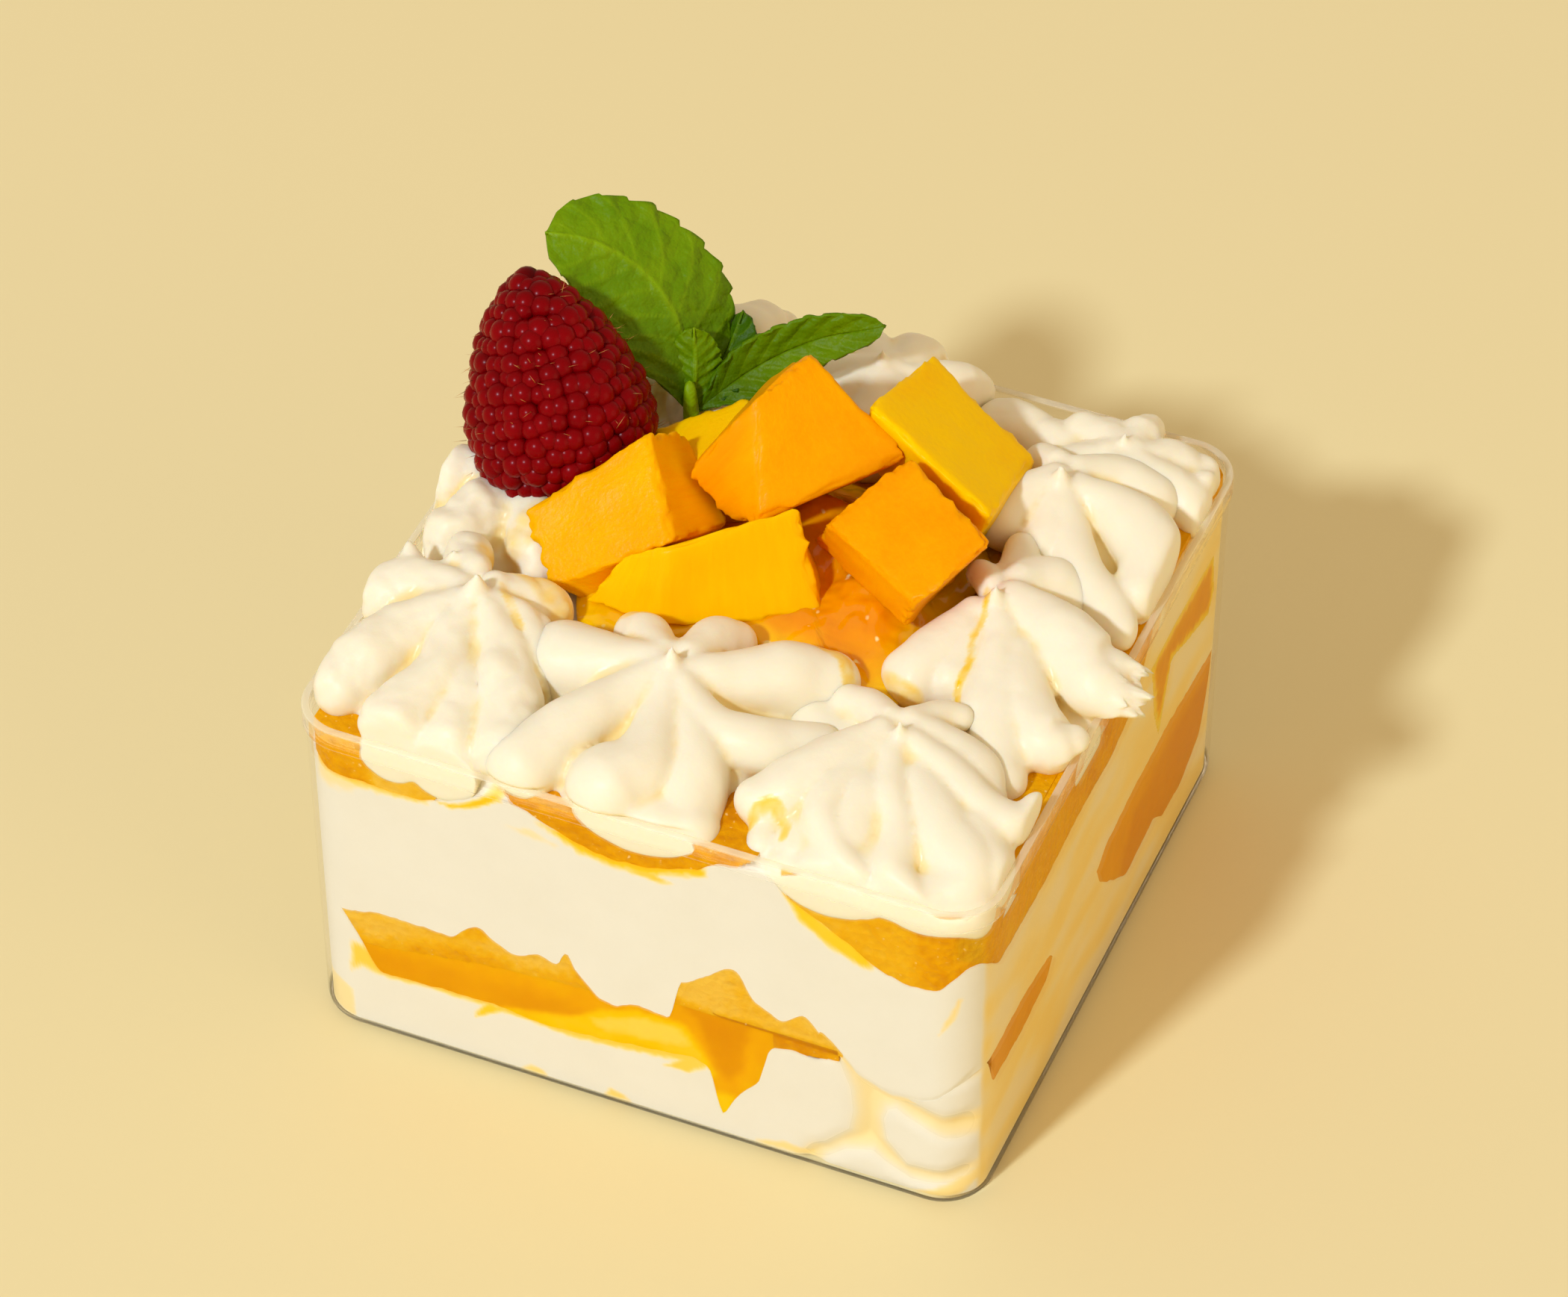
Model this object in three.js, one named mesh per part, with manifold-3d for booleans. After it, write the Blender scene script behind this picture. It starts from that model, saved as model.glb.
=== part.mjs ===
// A layered mango cream dessert in a clear square box: whipped cream, sponge fingers and mango puree in
// layers, a ring of piped cream stars on top, and diced mango, one red berry and a mint sprig in the middle.
// Millimetres, +Z up, the front wall faces -Y, the origin is the middle of the foot.
import * as THREE from 'three';
import { mergeVertices } from 'three/addons/utils/BufferGeometryUtils.js';
import Module from 'manifold-3d';

const wasm = await Module();
wasm.setup();

// The clear box
const RIM_HALF = 40;
const FOOT_HALF = 39.5;
const BOX_HEIGHT = 45.4;
const WALL = 0.9;
const FLOOR = 1;
const RIM_RADIUS = 5.5;
const FOOT_RADIUS = 6.5;
const FOOT_EDGE = 1.5;
const LEDGE_DROP = 2.7;
const LEDGE_STEP = 0.25;
const CORNER_STEPS = 5;

// The layers inside it
const GAP = 0.3;
const LAYER_CELLS = 13;
const BED_TOP = 43.9;
const BED_EDGE = 39.6;
const BED_SLOPE = 4;
const PARTING_LEVEL = 16;
const PARTING_WAVE = 0.8;
const WALL_REACH = 14;
const STRIP_STEPS = 5;
const DRIP_DEPTH = 8;
const DRIP_END = 9.6;
const FINGER_BEHIND = 37.2;
const FINGER_STEP = [4, 12];
const SHARPEST_MITRE = 0.6;

// The toppings
const STAR_SLICES = 32;
const STAR_STACKS = 8;
const STAR_CROWN = 0.68;
const STAR_EDGE = 6.2;
const STAR_LOBES = 8;
const STAR_VALLEY = 0.34;
const VALLEY_DROP = 0.3;
const LOBE_UNEVEN = 0.08;
const STAR_FLARE = 1.15;
const TIP_DRAW = 2.1;
const LEAN_DRAW = 3;
const RIM_CLEAR = 1.5;
const POOL_CENTRE = [6, 1];
const POOL_HALF = [14, 12];
const POOL_TOP = 49.4;
const POOL_WAVES = [0.07, 0.04];
const MANGO_FLOOR = 45.4;
const MANGO_CELLS = 3;
const MANGO_ROUND = 0.2;
const MANGO_CROWN = 1.3;
const MANGO_UNEVEN = 0.07;
const BERRY_BASE = [-25.4, 3.4, 48];
const BERRY_TIP = [-35.2, 12.7, 69];
const BERRY_RADIUS = 10.7;
const BERRY_BLUNT = 0.55;
const BERRY_TAPER = [1.2, 0.62];
const BERRY_ROWS = 7;
const BERRY_COLUMNS = 10;
const DRUPELET = 0.9;
const SPRIG_BASE = [-17, 16, 51];
const STEM_RADIUS = 0.9;
const STEM_FOOT = [0.6, -1, -5];
const STEM_TOP = [-0.6, 1, 4];
const LEAF_THICK = 0.5;
const LEAF_CELLS = [10, 4];
const LEAF_STALK = 0.6;
const LEAF_BELLY = 0.8;
const LEAF_ROUND = 0.75;
const TEETH = 7;
const TOOTH = 0.7;

const CREAM = 0xfff6e2;
const SPONGE = 0xd9a24a;
const PUREE = 0xf09a12;
const SAUCE = 0xe07c08;
const MANGO = 0xf9ae0c;
const BERRY = 0x8e0a14;
const MINT = 0x5f9a12;
const CLEAR = 0xf4f2e8;

// Repeatable draws between -1 and 1
function draws(seed) {
  let state = seed;
  return () => {
    state = (state * 1664525 + 1013904223) % 4294967296;
    return (state / 4294967296) * 2 - 1;
  };
}

function smooth(from, to, value) {
  return THREE.MathUtils.smoothstep(value, from, to);
}

// The height at a place along a line of a few points, eased between them
function along(points, place) {
  const last = points.length - 1;
  if (place <= points[0][0]) return points[0][1];
  if (place >= points[last][0]) return points[last][1];
  const i = points.findIndex((p) => p[0] > place);
  const [from, to] = [points[i - 1], points[i]];
  return THREE.MathUtils.lerp(from[1], to[1], smooth(from[0], to[0], place));
}

// From geometry to a solid that can be cut, and back
function solid(geometry) {
  const bare = geometry.clone();
  bare.deleteAttribute('normal');
  bare.deleteAttribute('uv');
  const joined = mergeVertices(bare, 1e-3);
  const vertProperties = new Float32Array(joined.attributes.position.array);
  const triVerts = new Uint32Array(joined.index.array);
  return new wasm.Manifold(new wasm.Mesh({ numProp: 3, vertProperties, triVerts }));
}

function largest(body) {
  return body.decompose().reduce((best, piece) => (piece.volume() > best.volume() ? piece : best));
}

function geometryOf(body) {
  const { vertProperties, triVerts } = largest(body).getMesh();
  const geometry = new THREE.BufferGeometry();
  geometry.setAttribute('position', new THREE.BufferAttribute(new Float32Array(vertProperties), 3));
  geometry.setIndex(new THREE.BufferAttribute(new Uint32Array(triVerts), 1));
  geometry.computeVertexNormals();
  return geometry;
}

function cut(body, tools) {
  return tools.reduce((rest, tool) => rest.subtract(tool), body);
}

// Moves every vertex of a three.js geometry to the place that a rule gives it
function mould(geometry, rule) {
  const position = geometry.attributes.position;
  const point = new THREE.Vector3();
  for (let i = 0; i < position.count; i += 1) {
    point.fromBufferAttribute(position, i);
    const moved = rule(point);
    position.setXYZ(i, moved.x, moved.y, moved.z);
  }
  return geometry;
}

// A closed sheet between two faces that are split into triangles alike
function slab(columns, rows, upper, lower) {
  const points = [];
  const index = [];
  const row = columns + 1;
  const face = row * (rows + 1);
  for (const side of [upper, lower]) {
    for (let j = 0; j <= rows; j += 1) {
      for (let i = 0; i <= columns; i += 1) {
        points.push(side((2 * i) / columns - 1, (2 * j) / rows - 1));
      }
    }
  }
  for (let j = 0; j < rows; j += 1) {
    for (let i = 0; i < columns; i += 1) {
      const [a, b, c, d] = [j * row + i, j * row + i + 1, (j + 1) * row + i + 1, (j + 1) * row + i];
      index.push(a, b, c, a, c, d, a + face, c + face, b + face, a + face, d + face, c + face);
    }
  }
  const border = [];
  for (let i = 0; i < columns; i += 1) border.push(i);
  for (let j = 0; j < rows; j += 1) border.push(j * row + columns);
  for (let i = columns; i > 0; i -= 1) border.push(rows * row + i);
  for (let j = rows; j > 0; j -= 1) border.push(j * row);
  border.forEach((a, k) => {
    const b = border[(k + 1) % border.length];
    index.push(a, a + face, b + face, a, b + face, b);
  });
  const geometry = new THREE.BufferGeometry().setFromPoints(points);
  geometry.setIndex(index);
  geometry.computeVertexNormals();
  return geometry;
}

// The box: rounded squares one above the other, up the outside, over the rim and down the inside
function outerHalf(z) {
  return THREE.MathUtils.lerp(FOOT_HALF, RIM_HALF - LEDGE_STEP, z / BOX_HEIGHT);
}

function ringOf(half, radius, z) {
  const ring = [];
  for (let corner = 0; corner < 4; corner += 1) {
    const middle = (corner + 0.5) * (Math.PI / 2);
    const centre = (half - radius) * Math.SQRT2;
    for (let i = 0; i <= CORNER_STEPS; i += 1) {
      const angle = (corner + i / CORNER_STEPS) * (Math.PI / 2);
      const x = centre * Math.cos(middle) + radius * Math.cos(angle);
      const y = centre * Math.sin(middle) + radius * Math.sin(angle);
      ring.push(new THREE.Vector3(x, y, z));
    }
  }
  return ring;
}

// A closed body through rings one above or inside the other, with a flat end at the first and the last
function loft(rings) {
  const count = rings[0].length;
  const ends = [rings[0], rings[rings.length - 1]].map((ring) => new THREE.Vector3(0, 0, ring[0].z));
  const points = [...rings.flat(), ...ends];
  const [first, last] = [points.length - 2, points.length - 1];
  const top = (rings.length - 1) * count;
  const index = [];
  for (let i = 0; i < count; i += 1) {
    const next = (i + 1) % count;
    index.push(first, next, i, last, top + i, top + next);
    for (let r = 0; r < rings.length - 1; r += 1) {
      const [a, b] = [r * count + i, r * count + next];
      index.push(a, b, b + count, a, b + count, a + count);
    }
  }
  const geometry = new THREE.BufferGeometry().setFromPoints(points);
  geometry.setIndex(index);
  geometry.computeVertexNormals();
  return geometry;
}

function boxShell() {
  const ledge = BOX_HEIGHT - LEDGE_DROP;
  const lip = outerHalf(ledge) + LEDGE_STEP;
  return loft([
    ringOf(FOOT_HALF - FOOT_EDGE, FOOT_RADIUS - FOOT_EDGE, 0),
    ringOf(FOOT_HALF - FOOT_EDGE * 0.3, FOOT_RADIUS - FOOT_EDGE * 0.3, FOOT_EDGE * 0.3),
    ringOf(FOOT_HALF, FOOT_RADIUS, FOOT_EDGE),
    ringOf(outerHalf(ledge), RIM_RADIUS, ledge),
    ringOf(lip, RIM_RADIUS, ledge + LEDGE_STEP),
    ringOf(RIM_HALF, RIM_RADIUS, BOX_HEIGHT),
    ringOf(RIM_HALF - WALL, RIM_RADIUS - WALL, BOX_HEIGHT),
    ringOf(lip - WALL, RIM_RADIUS - WALL, ledge + 2 * LEDGE_STEP),
    ringOf(outerHalf(ledge) - WALL, RIM_RADIUS - WALL, ledge + LEDGE_STEP),
    ringOf(FOOT_HALF - WALL, FOOT_RADIUS - WALL, FLOOR + FOOT_EDGE),
    ringOf(FOOT_HALF - WALL - FOOT_EDGE, FOOT_RADIUS - WALL - FOOT_EDGE, FLOOR),
  ]);
}

// The room inside the box that the filling takes, a gap clear of the floor and the wall
function fillHalf(z) {
  return outerHalf(z) - WALL - GAP;
}

function cavity() {
  const low = FLOOR + GAP;
  const radius = FOOT_RADIUS - WALL;
  return solid(loft([
    ringOf(fillHalf(low) - FOOT_EDGE, radius - FOOT_EDGE, low),
    ringOf(fillHalf(low), radius, low + FOOT_EDGE),
    ringOf(fillHalf(BED_TOP), RIM_RADIUS - WALL, BED_TOP),
  ]));
}

// The wall and rim with a gap round them, for cutting what hangs over the rim
function rimTool() {
  const top = BOX_HEIGHT + GAP;
  const block = new THREE.BoxGeometry(4 * RIM_HALF, 4 * RIM_HALF, top).translate(0, 0, top / 2);
  const inside = loft([
    ringOf(fillHalf(0), FOOT_RADIUS - WALL, -1),
    ringOf(fillHalf(BOX_HEIGHT), RIM_RADIUS - WALL, top + 1),
  ]);
  return solid(block).subtract(solid(inside));
}

// The bed that the stars sit on slopes down to the wall all round
function bedTop(x, y) {
  const inward = fillHalf(BED_EDGE) - Math.max(Math.abs(x), Math.abs(y));
  return THREE.MathUtils.lerp(BED_EDGE, BED_TOP, smooth(0, BED_SLOPE, inward));
}

// The surface between the two creams, as the front wall and the right wall show it
const FRONT_PARTING = [[-39, 13], [-20, 14], [0, 14], [8, 17], [15, 20.3], [23, 19.5], [30, 15.3], [39, 18]];
const RIGHT_PARTING = [[-39, 18], [-8, 18], [10, 16], [25, 14], [39, 15]];

function parting(x, y) {
  const front = smooth(WALL_REACH, 0, y + FOOT_HALF);
  const right = smooth(WALL_REACH, 0, FOOT_HALF - x) * (1 - front);
  const wave = PARTING_WAVE * Math.sin(x / 6) * Math.cos(y / 7);
  const inFront = front * (along(FRONT_PARTING, x) - PARTING_LEVEL);
  const atRight = right * (along(RIGHT_PARTING, y) - PARTING_LEVEL);
  return PARTING_LEVEL + inFront + atRight + wave * (1 - front - right);
}

// What lies between two heights, over a square wider than the filling
function level(lower, upper) {
  const at = (height) => (u, v) => {
    const [x, y] = [u * RIM_HALF, v * RIM_HALF];
    return new THREE.Vector3(x, y, height(x, y));
  };
  return solid(slab(LAYER_CELLS, LAYER_CELLS, at(upper), at(lower)));
}

// A closed outline moved outwards by a little, so that a neighbour can be cut clear of it
function grown(outline, by) {
  const turn = Math.sign(THREE.ShapeUtils.area(outline));
  return outline.map((p, i) => {
    const before = outline[(i + outline.length - 1) % outline.length];
    const after = outline[(i + 1) % outline.length];
    const first = p.clone().sub(before).normalize();
    const second = after.clone().sub(p).normalize();
    const out = new THREE.Vector2(first.y + second.y, -first.x - second.x).normalize();
    const spread = Math.max(SHARPEST_MITRE, Math.sqrt((1 + first.dot(second)) / 2));
    return p.clone().addScaledVector(out, (turn * by) / spread);
  });
}

// A strip of sponge or puree: the outline that shows at a wall, run through the filling from there.
// Along 'y' the outline is (x, z) and shows at the front, along 'x' it is (y, z) and shows at the right.
function strip({ outline, way, from, to, settle }, by = 0) {
  const points = grown(outline.map((p) => new THREE.Vector2(...p)), by);
  const [start, end] = [from - by, to + by];
  const options = { depth: end - start, steps: STRIP_STEPS, bevelEnabled: false };
  const run = new THREE.ExtrudeGeometry(new THREE.Shape(points), options);
  return solid(mould(run, (p) => {
    const place = way === 'y' ? end - p.z : start + p.z;
    const z = settle ? settle(p.y, place, by) : p.y;
    return way === 'y' ? new THREE.Vector3(p.x, place, z) : new THREE.Vector3(place, p.x, z);
  }));
}

// The drip hangs at the front wall only
function dripAtFront(z, y, by) {
  const inside = Math.max(z, DRIP_END - by);
  return THREE.MathUtils.lerp(z, inside, smooth(-FOOT_HALF, DRIP_DEPTH - FOOT_HALF, y));
}

// The right finger lies lower in front than behind
function lowInFront(z, y, by) {
  const behind = Math.max(z, FINGER_BEHIND - by);
  return THREE.MathUtils.lerp(z, behind, smooth(...FINGER_STEP, y));
}

const THROUGH = { way: 'y', from: -FOOT_HALF, to: FOOT_HALF };
const STRIPS = {
  sponge_lower_left: {
    ...THROUGH,
    outline: [
      [-33.5, 16.6], [-24, 16.4], [-12, 16.6], [-5, 17.4], [-8.5, 20.2], [-11, 21.2],
      [-16, 20.6], [-18, 22.6], [-20.5, 20.1], [-28, 20.1], [-35.4, 19.6],
    ],
    colour: SPONGE,
  },
  puree_lower: {
    ...THROUGH,
    outline: [
      [-33, 12], [-30, 10.2], [-18, 9.7], [-10, 10.1], [2, 10.5], [8, 11.6], [9.3, 8], [9.9, 3.8],
      [12.2, 8.4], [15, 12.3], [13, 14.5], [12.5, 19.6], [6, 19.6], [4.6, 17], [-3.6, 16.4],
      [-12, 16], [-24, 15.8], [-34, 15.9],
    ],
    settle: dripAtFront,
    colour: PUREE,
  },
  sponge_lower_right: {
    ...THROUGH,
    outline: [
      [6.2, 20.5], [9.5, 20.1], [16, 20.1], [22.8, 20.3], [20, 24.4], [17, 22.2],
      [13.4, 25.4], [11.2, 28], [8, 24.6], [5.8, 23.8],
    ],
    colour: SPONGE,
  },
  puree_lower_side: {
    way: 'x',
    from: 24.5,
    to: FOOT_HALF,
    outline: [
      [-1.5, 14.8], [3, 12], [8, 8.2], [17, 9], [20, 6.5], [26, 6.2], [32, 9],
      [33, 19.5], [20, 20.8], [8, 20.6], [-2, 19.3],
    ],
    colour: PUREE,
  },
  puree_lower_corner: {
    way: 'x',
    from: 28,
    to: FOOT_HALF,
    outline: [[-32.5, 16], [-26, 15.2], [-18, 16.5], [-17.5, 19], [-25, 20], [-33, 19.5]],
    colour: PUREE,
  },
  sponge_upper_left: {
    ...THROUGH,
    outline: [
      [-39.5, 39.6], [-36, 38.6], [-31, 38.6], [-27.5, 38.3], [-24.3, 39.2], [-23, 41], [-24, 46],
      [-39.5, 46],
    ],
    colour: SPONGE,
  },
  sponge_upper_middle: {
    ...THROUGH,
    outline: [
      [-13, 42.5], [-10, 40.6], [-6, 38.9], [-2, 38.2], [2, 38.6], [7.5, 40.6], [9.6, 42], [9, 46], [-13, 46],
    ],
    colour: SPONGE,
  },
  sponge_upper_right: {
    ...THROUGH,
    outline: [
      [21.5, 39.4], [25, 37], [30, 34.9], [34, 34.5], [37, 36.8], [39.5, 40.5], [39.5, 46], [20.5, 46],
    ],
    settle: lowInFront,
    colour: SPONGE,
  },
  puree_upper_side: {
    way: 'x',
    from: 26,
    to: FOOT_HALF,
    outline: [
      [13.5, 32], [14.5, 27], [16.5, 22.5], [18, 27], [19.5, 31.5], [25, 29.5], [32, 30.5],
      [32.5, 36], [20, 36.4], [12.5, 36],
    ],
    colour: PUREE,
  },
};

// The piped stars: place of the middle, height of the tip, reach, and where the first lobe points
const STARS = {
  cream_star_front_left: { x: -26, y: -23, tip: 55.7, reach: 18, first: -98, turn: 22, lean: [-1, 1] },
  cream_star_front: { x: -3, y: -22.5, tip: 54.6, reach: 18.5, first: -97, turn: 26, lean: [0, 1] },
  cream_star_front_right: { x: 23.6, y: -22.5, tip: 53.4, reach: 18.5, first: -90, turn: 20, lean: [0, 1] },
  cream_star_right: { x: 26, y: 0.5, tip: 54.2, reach: 18, first: -20, turn: 30, lean: [-1, 1], over: 4 },
  cream_star_back_right: { x: 26, y: 20.5, tip: 55, reach: 15.5, first: -70, turn: 30, lean: [-1, 0] },
  cream_star_corner: { x: 30, y: 34, tip: 53, reach: 11, first: 10, turn: 20, lean: [0, 0] },
  cream_star_back: { x: 2, y: 31.5, tip: 55, reach: 16, first: -80, turn: 25, lean: [0, 1] },
  cream_star_back_left: { x: -24, y: 27, tip: 52.6, reach: 17, first: 100, turn: 25, lean: [0, 0] },
  cream_star_left: { x: -30, y: 1.5, tip: 51.4, reach: 16, first: 180, turn: 22, lean: [0, 0] },
};

// How far a star may reach at an angle before it meets a neighbour or the wall
function starLimit(star, angle, z) {
  const [cx, cy] = [Math.cos(angle), Math.sin(angle)];
  const overRim = star.over && z > BOX_HEIGHT + RIM_CLEAR;
  const wall = overRim ? RIM_HALF + star.over : fillHalf(BED_EDGE);
  let limit = Infinity;
  if (Math.abs(cx) > 1e-6) limit = Math.min(limit, (Math.sign(cx) * wall - star.x) / cx);
  if (Math.abs(cy) > 1e-6) limit = Math.min(limit, (Math.sign(cy) * wall - star.y) / cy);
  for (const other of Object.values(STARS)) {
    const apart = Math.hypot(other.x - star.x, other.y - star.y);
    if (apart === 0) continue;
    const facing = ((other.x - star.x) * cx + (other.y - star.y) * cy) / apart;
    const share = (apart * star.reach) / (star.reach + other.reach) - GAP / 2;
    if (facing > 0.05) limit = Math.min(limit, share / facing);
  }
  return limit;
}

// One star: lobes with sharp valleys between them, turning as they rise to a drawn-out tip
function starSolid(name) {
  const star = STARS[name];
  const draw = draws(name.length * 97 + Math.round(star.reach * 10));
  const lengths = Array.from({ length: STAR_LOBES }, () => 1 + LOBE_UNEVEN * draw());
  const rule = (p) => {
    const angle = Math.atan2(p.y, p.x);
    const fall = Math.acos(THREE.MathUtils.clamp(p.z, -1, 1)) / Math.PI;
    const out = Math.min(1, fall / STAR_CROWN);
    const under = Math.max(0, (fall - STAR_CROWN) / (1 - STAR_CROWN));
    const rho = under > 0 ? 1 - under : out ** STAR_FLARE;
    const turned = angle + THREE.MathUtils.degToRad(star.turn * (1 - rho) - star.first);
    const lobe = (turned / (2 * Math.PI)) * STAR_LOBES;
    const valley = 1 - Math.sqrt(Math.abs(Math.cos(lobe * Math.PI)));
    const which = ((Math.round(lobe) % STAR_LOBES) + STAR_LOBES) % STAR_LOBES;
    const full = star.reach * THREE.MathUtils.lerp(lengths[which], 1 - STAR_VALLEY, valley);
    const edge = STAR_EDGE * (1 - VALLEY_DROP * valley) * Math.sqrt(1 - rho ** 4);
    const rise = edge + (star.tip - BED_TOP - STAR_EDGE) * (1 - rho) ** TIP_DRAW;
    const reach = Math.max(0, Math.min(full * rho, starLimit(star, angle, BED_TOP + rise)));
    const drawn = (1 - rho) ** LEAN_DRAW;
    const x = star.x + reach * Math.cos(angle) + star.lean[0] * drawn;
    const y = star.y + reach * Math.sin(angle) + star.lean[1] * drawn;
    const ground = star.over ? BED_TOP : bedTop(x, y);
    return new THREE.Vector3(x, y, under > 0 ? BED_EDGE : ground + rise);
  };
  const ball = new THREE.SphereGeometry(1, STAR_SLICES, STAR_STACKS).rotateX(Math.PI / 2);
  return solid(mould(ball, rule));
}

// The pool of mango sauce in the middle of the ring
function poolSolid(by = 0) {
  const ball = new THREE.SphereGeometry(1, 24, 6).rotateX(Math.PI / 2);
  return solid(mould(ball, (p) => {
    const angle = Math.atan2(p.y, p.x);
    const wave = 1 + POOL_WAVES[0] * Math.sin(3 * angle + 1) + POOL_WAVES[1] * Math.sin(5 * angle);
    const x = POOL_CENTRE[0] + (POOL_HALF[0] * wave + by) * p.x;
    const y = POOL_CENTRE[1] + (POOL_HALF[1] * wave + by) * p.y;
    const low = BED_TOP + GAP;
    return new THREE.Vector3(x, y, p.z < 0 ? low - by : low + (POOL_TOP - low + by) * Math.sqrt(p.z));
  }));
}

// The mango dice: middle, half sizes and turns about X, Y and Z in degrees, topmost first
const DICE = {
  mango_top: { at: [-1.9, 8.6, 56.6], half: [6.8, 6.6, 8], turn: [29, 35, 63] },
  mango_front: { at: [-2.4, -8.4, 52], half: [9.2, 5, 5], turn: [35, -4, 22] },
  mango_right: { at: [14.8, 2.2, 52.8], half: [6.3, 6.8, 6], turn: [21, -4, 61] },
  mango_left: { at: [-15.1, -6, 53.8], half: [8.2, 6, 5.4], turn: [48, -8, 42] },
  mango_back_right: { at: [10.5, 16.4, 53], half: [8.1, 7.5, 6], turn: [-15, 29, 87] },
  mango_back_left: { at: [-14, 11.5, 52.5], half: [6.5, 6, 5], turn: [10, -12, 25] },
};

function dieSolid(name, by = 0) {
  const { at, half, turn } = DICE[name];
  const draw = draws(name.length * 31 + 7);
  const corners = Array.from({ length: 8 }, () => new THREE.Vector3(draw(), draw(), draw()));
  const spin = new THREE.Euler(...turn.map(THREE.MathUtils.degToRad), 'XYZ');
  const block = new THREE.BoxGeometry(2, 2, 2, MANGO_CELLS, MANGO_CELLS, MANGO_CELLS);
  return solid(mould(block, (p) => {
    const shift = new THREE.Vector3();
    corners.forEach((corner, i) => {
      const sign = [i & 1 ? 1 : -1, i & 2 ? 1 : -1, i & 4 ? 1 : -1];
      const weight = ((1 + sign[0] * p.x) * (1 + sign[1] * p.y) * (1 + sign[2] * p.z)) / 8;
      shift.addScaledVector(corner, weight * MANGO_UNEVEN);
    });
    const round = p.clone().normalize().multiplyScalar(MANGO_CROWN);
    const place = p.clone().lerp(round, MANGO_ROUND).add(shift);
    const size = new THREE.Vector3(half[0] + by, half[1] + by, half[2] + by);
    const set = place.multiply(size).applyEuler(spin).add(new THREE.Vector3(...at));
    set.z = Math.max(set.z, MANGO_FLOOR - by);
    return set;
  }));
}

// The red berry: a blunt cone of drupelets in staggered rows, leaning back
function berrySolid(by = 0) {
  const base = new THREE.Vector3(...BERRY_BASE);
  const axis = new THREE.Vector3(...BERRY_TIP).sub(base);
  const length = axis.length();
  const spin = new THREE.Quaternion().setFromUnitVectors(new THREE.Vector3(0, 0, 1), axis.normalize());
  const ball = new THREE.SphereGeometry(1, 4 * BERRY_COLUMNS, 3 * BERRY_ROWS).rotateX(Math.PI / 2);
  return solid(mould(ball, (p) => {
    const angle = Math.atan2(p.y, p.x);
    const rise = 1 - Math.acos(THREE.MathUtils.clamp(p.z, -1, 1)) / Math.PI;
    const row = rise * BERRY_ROWS;
    const stagger = (Math.round(row) % 2) * 0.5;
    const across = Math.cos((angle / (2 * Math.PI)) * BERRY_COLUMNS * 2 * Math.PI + stagger * 2 * Math.PI);
    const bump = DRUPELET * (0.5 + 0.5 * across) * (0.5 + 0.5 * Math.cos(row * 2 * Math.PI));
    const taper = BERRY_TAPER[0] - BERRY_TAPER[1] * rise;
    const girth = BERRY_RADIUS * taper * Math.sin(Math.PI * rise) ** BERRY_BLUNT;
    const reach = girth + Math.min(1, girth / 4) * bump + (girth > 0.1 ? by : 0);
    const z = rise * length + (rise > 0.5 ? by : -by);
    const set = new THREE.Vector3(reach * Math.cos(angle), reach * Math.sin(angle), z);
    return set.applyQuaternion(spin).add(base);
  }));
}

// The mint sprig: a short stem and its leaves, each with a toothed edge and raised sides
const LEAVES = [
  { tip: [-36.4, 24.4, 69], side: [0.72, 0.62, 0.3], width: 7.4, fold: 1.4, bow: -1.6 },
  { tip: [-1.5, 32.5, 56.5], side: [-0.35, 0.42, 0.84], width: 4.8, fold: 2, bow: 2.2 },
  { tip: [-19.5, 18.5, 61.5], side: [0.9, 0.4, 0.1], width: 4, fold: 1.8, bow: 0.6 },
  { tip: [-17.5, 26, 63], side: [0.9, -0.3, 0.3], width: 5.4, fold: 1.4, bow: 1 },
];

function leafSolid({ tip, side, width, fold, bow }) {
  const base = new THREE.Vector3(...SPRIG_BASE);
  const spine = new THREE.Vector3(...tip).sub(base);
  const across = new THREE.Vector3(...side);
  across.addScaledVector(spine, -across.dot(spine) / spine.lengthSq()).normalize();
  const up = spine.clone().cross(across).normalize();
  const face = (offset) => (u, v) => {
    const along01 = (u + 1) / 2;
    const tooth = TOOTH * Math.abs(Math.sin(along01 * TEETH * Math.PI)) * Math.abs(v);
    const half = LEAF_STALK + (width - tooth) * Math.sin(Math.PI * along01 ** LEAF_BELLY) ** LEAF_ROUND;
    const lift = fold * v * v * (half / width) + bow * Math.sin(Math.PI * along01) + offset;
    const middle = base.clone().addScaledVector(spine, along01);
    return middle.addScaledVector(across, half * v).addScaledVector(up, lift);
  };
  return solid(slab(...LEAF_CELLS, face(LEAF_THICK / 2), face(-LEAF_THICK / 2)));
}

function sprigSolid() {
  const base = new THREE.Vector3(...SPRIG_BASE);
  const foot = base.clone().add(new THREE.Vector3(...STEM_FOOT));
  const top = base.clone().add(new THREE.Vector3(...STEM_TOP));
  const way = new THREE.LineCurve3(foot, top);
  const section = new THREE.Shape().absarc(0, 0, STEM_RADIUS, 0, 2 * Math.PI);
  const stem = new THREE.ExtrudeGeometry(section, { extrudePath: way, steps: 2, curveSegments: 4 });
  return LEAVES.map(leafSolid).reduce((sprig, leaf) => sprig.add(leaf), solid(stem));
}

// Putting it together
const dessert = new THREE.Group();

function place(name, geometry, color, roughness) {
  const material = new THREE.MeshStandardMaterial({ color, roughness, metalness: 0 });
  const mesh = new THREE.Mesh(geometry, material);
  mesh.name = name;
  dessert.add(mesh);
}

place('box', boxShell(), CLEAR, 0.05);

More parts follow.
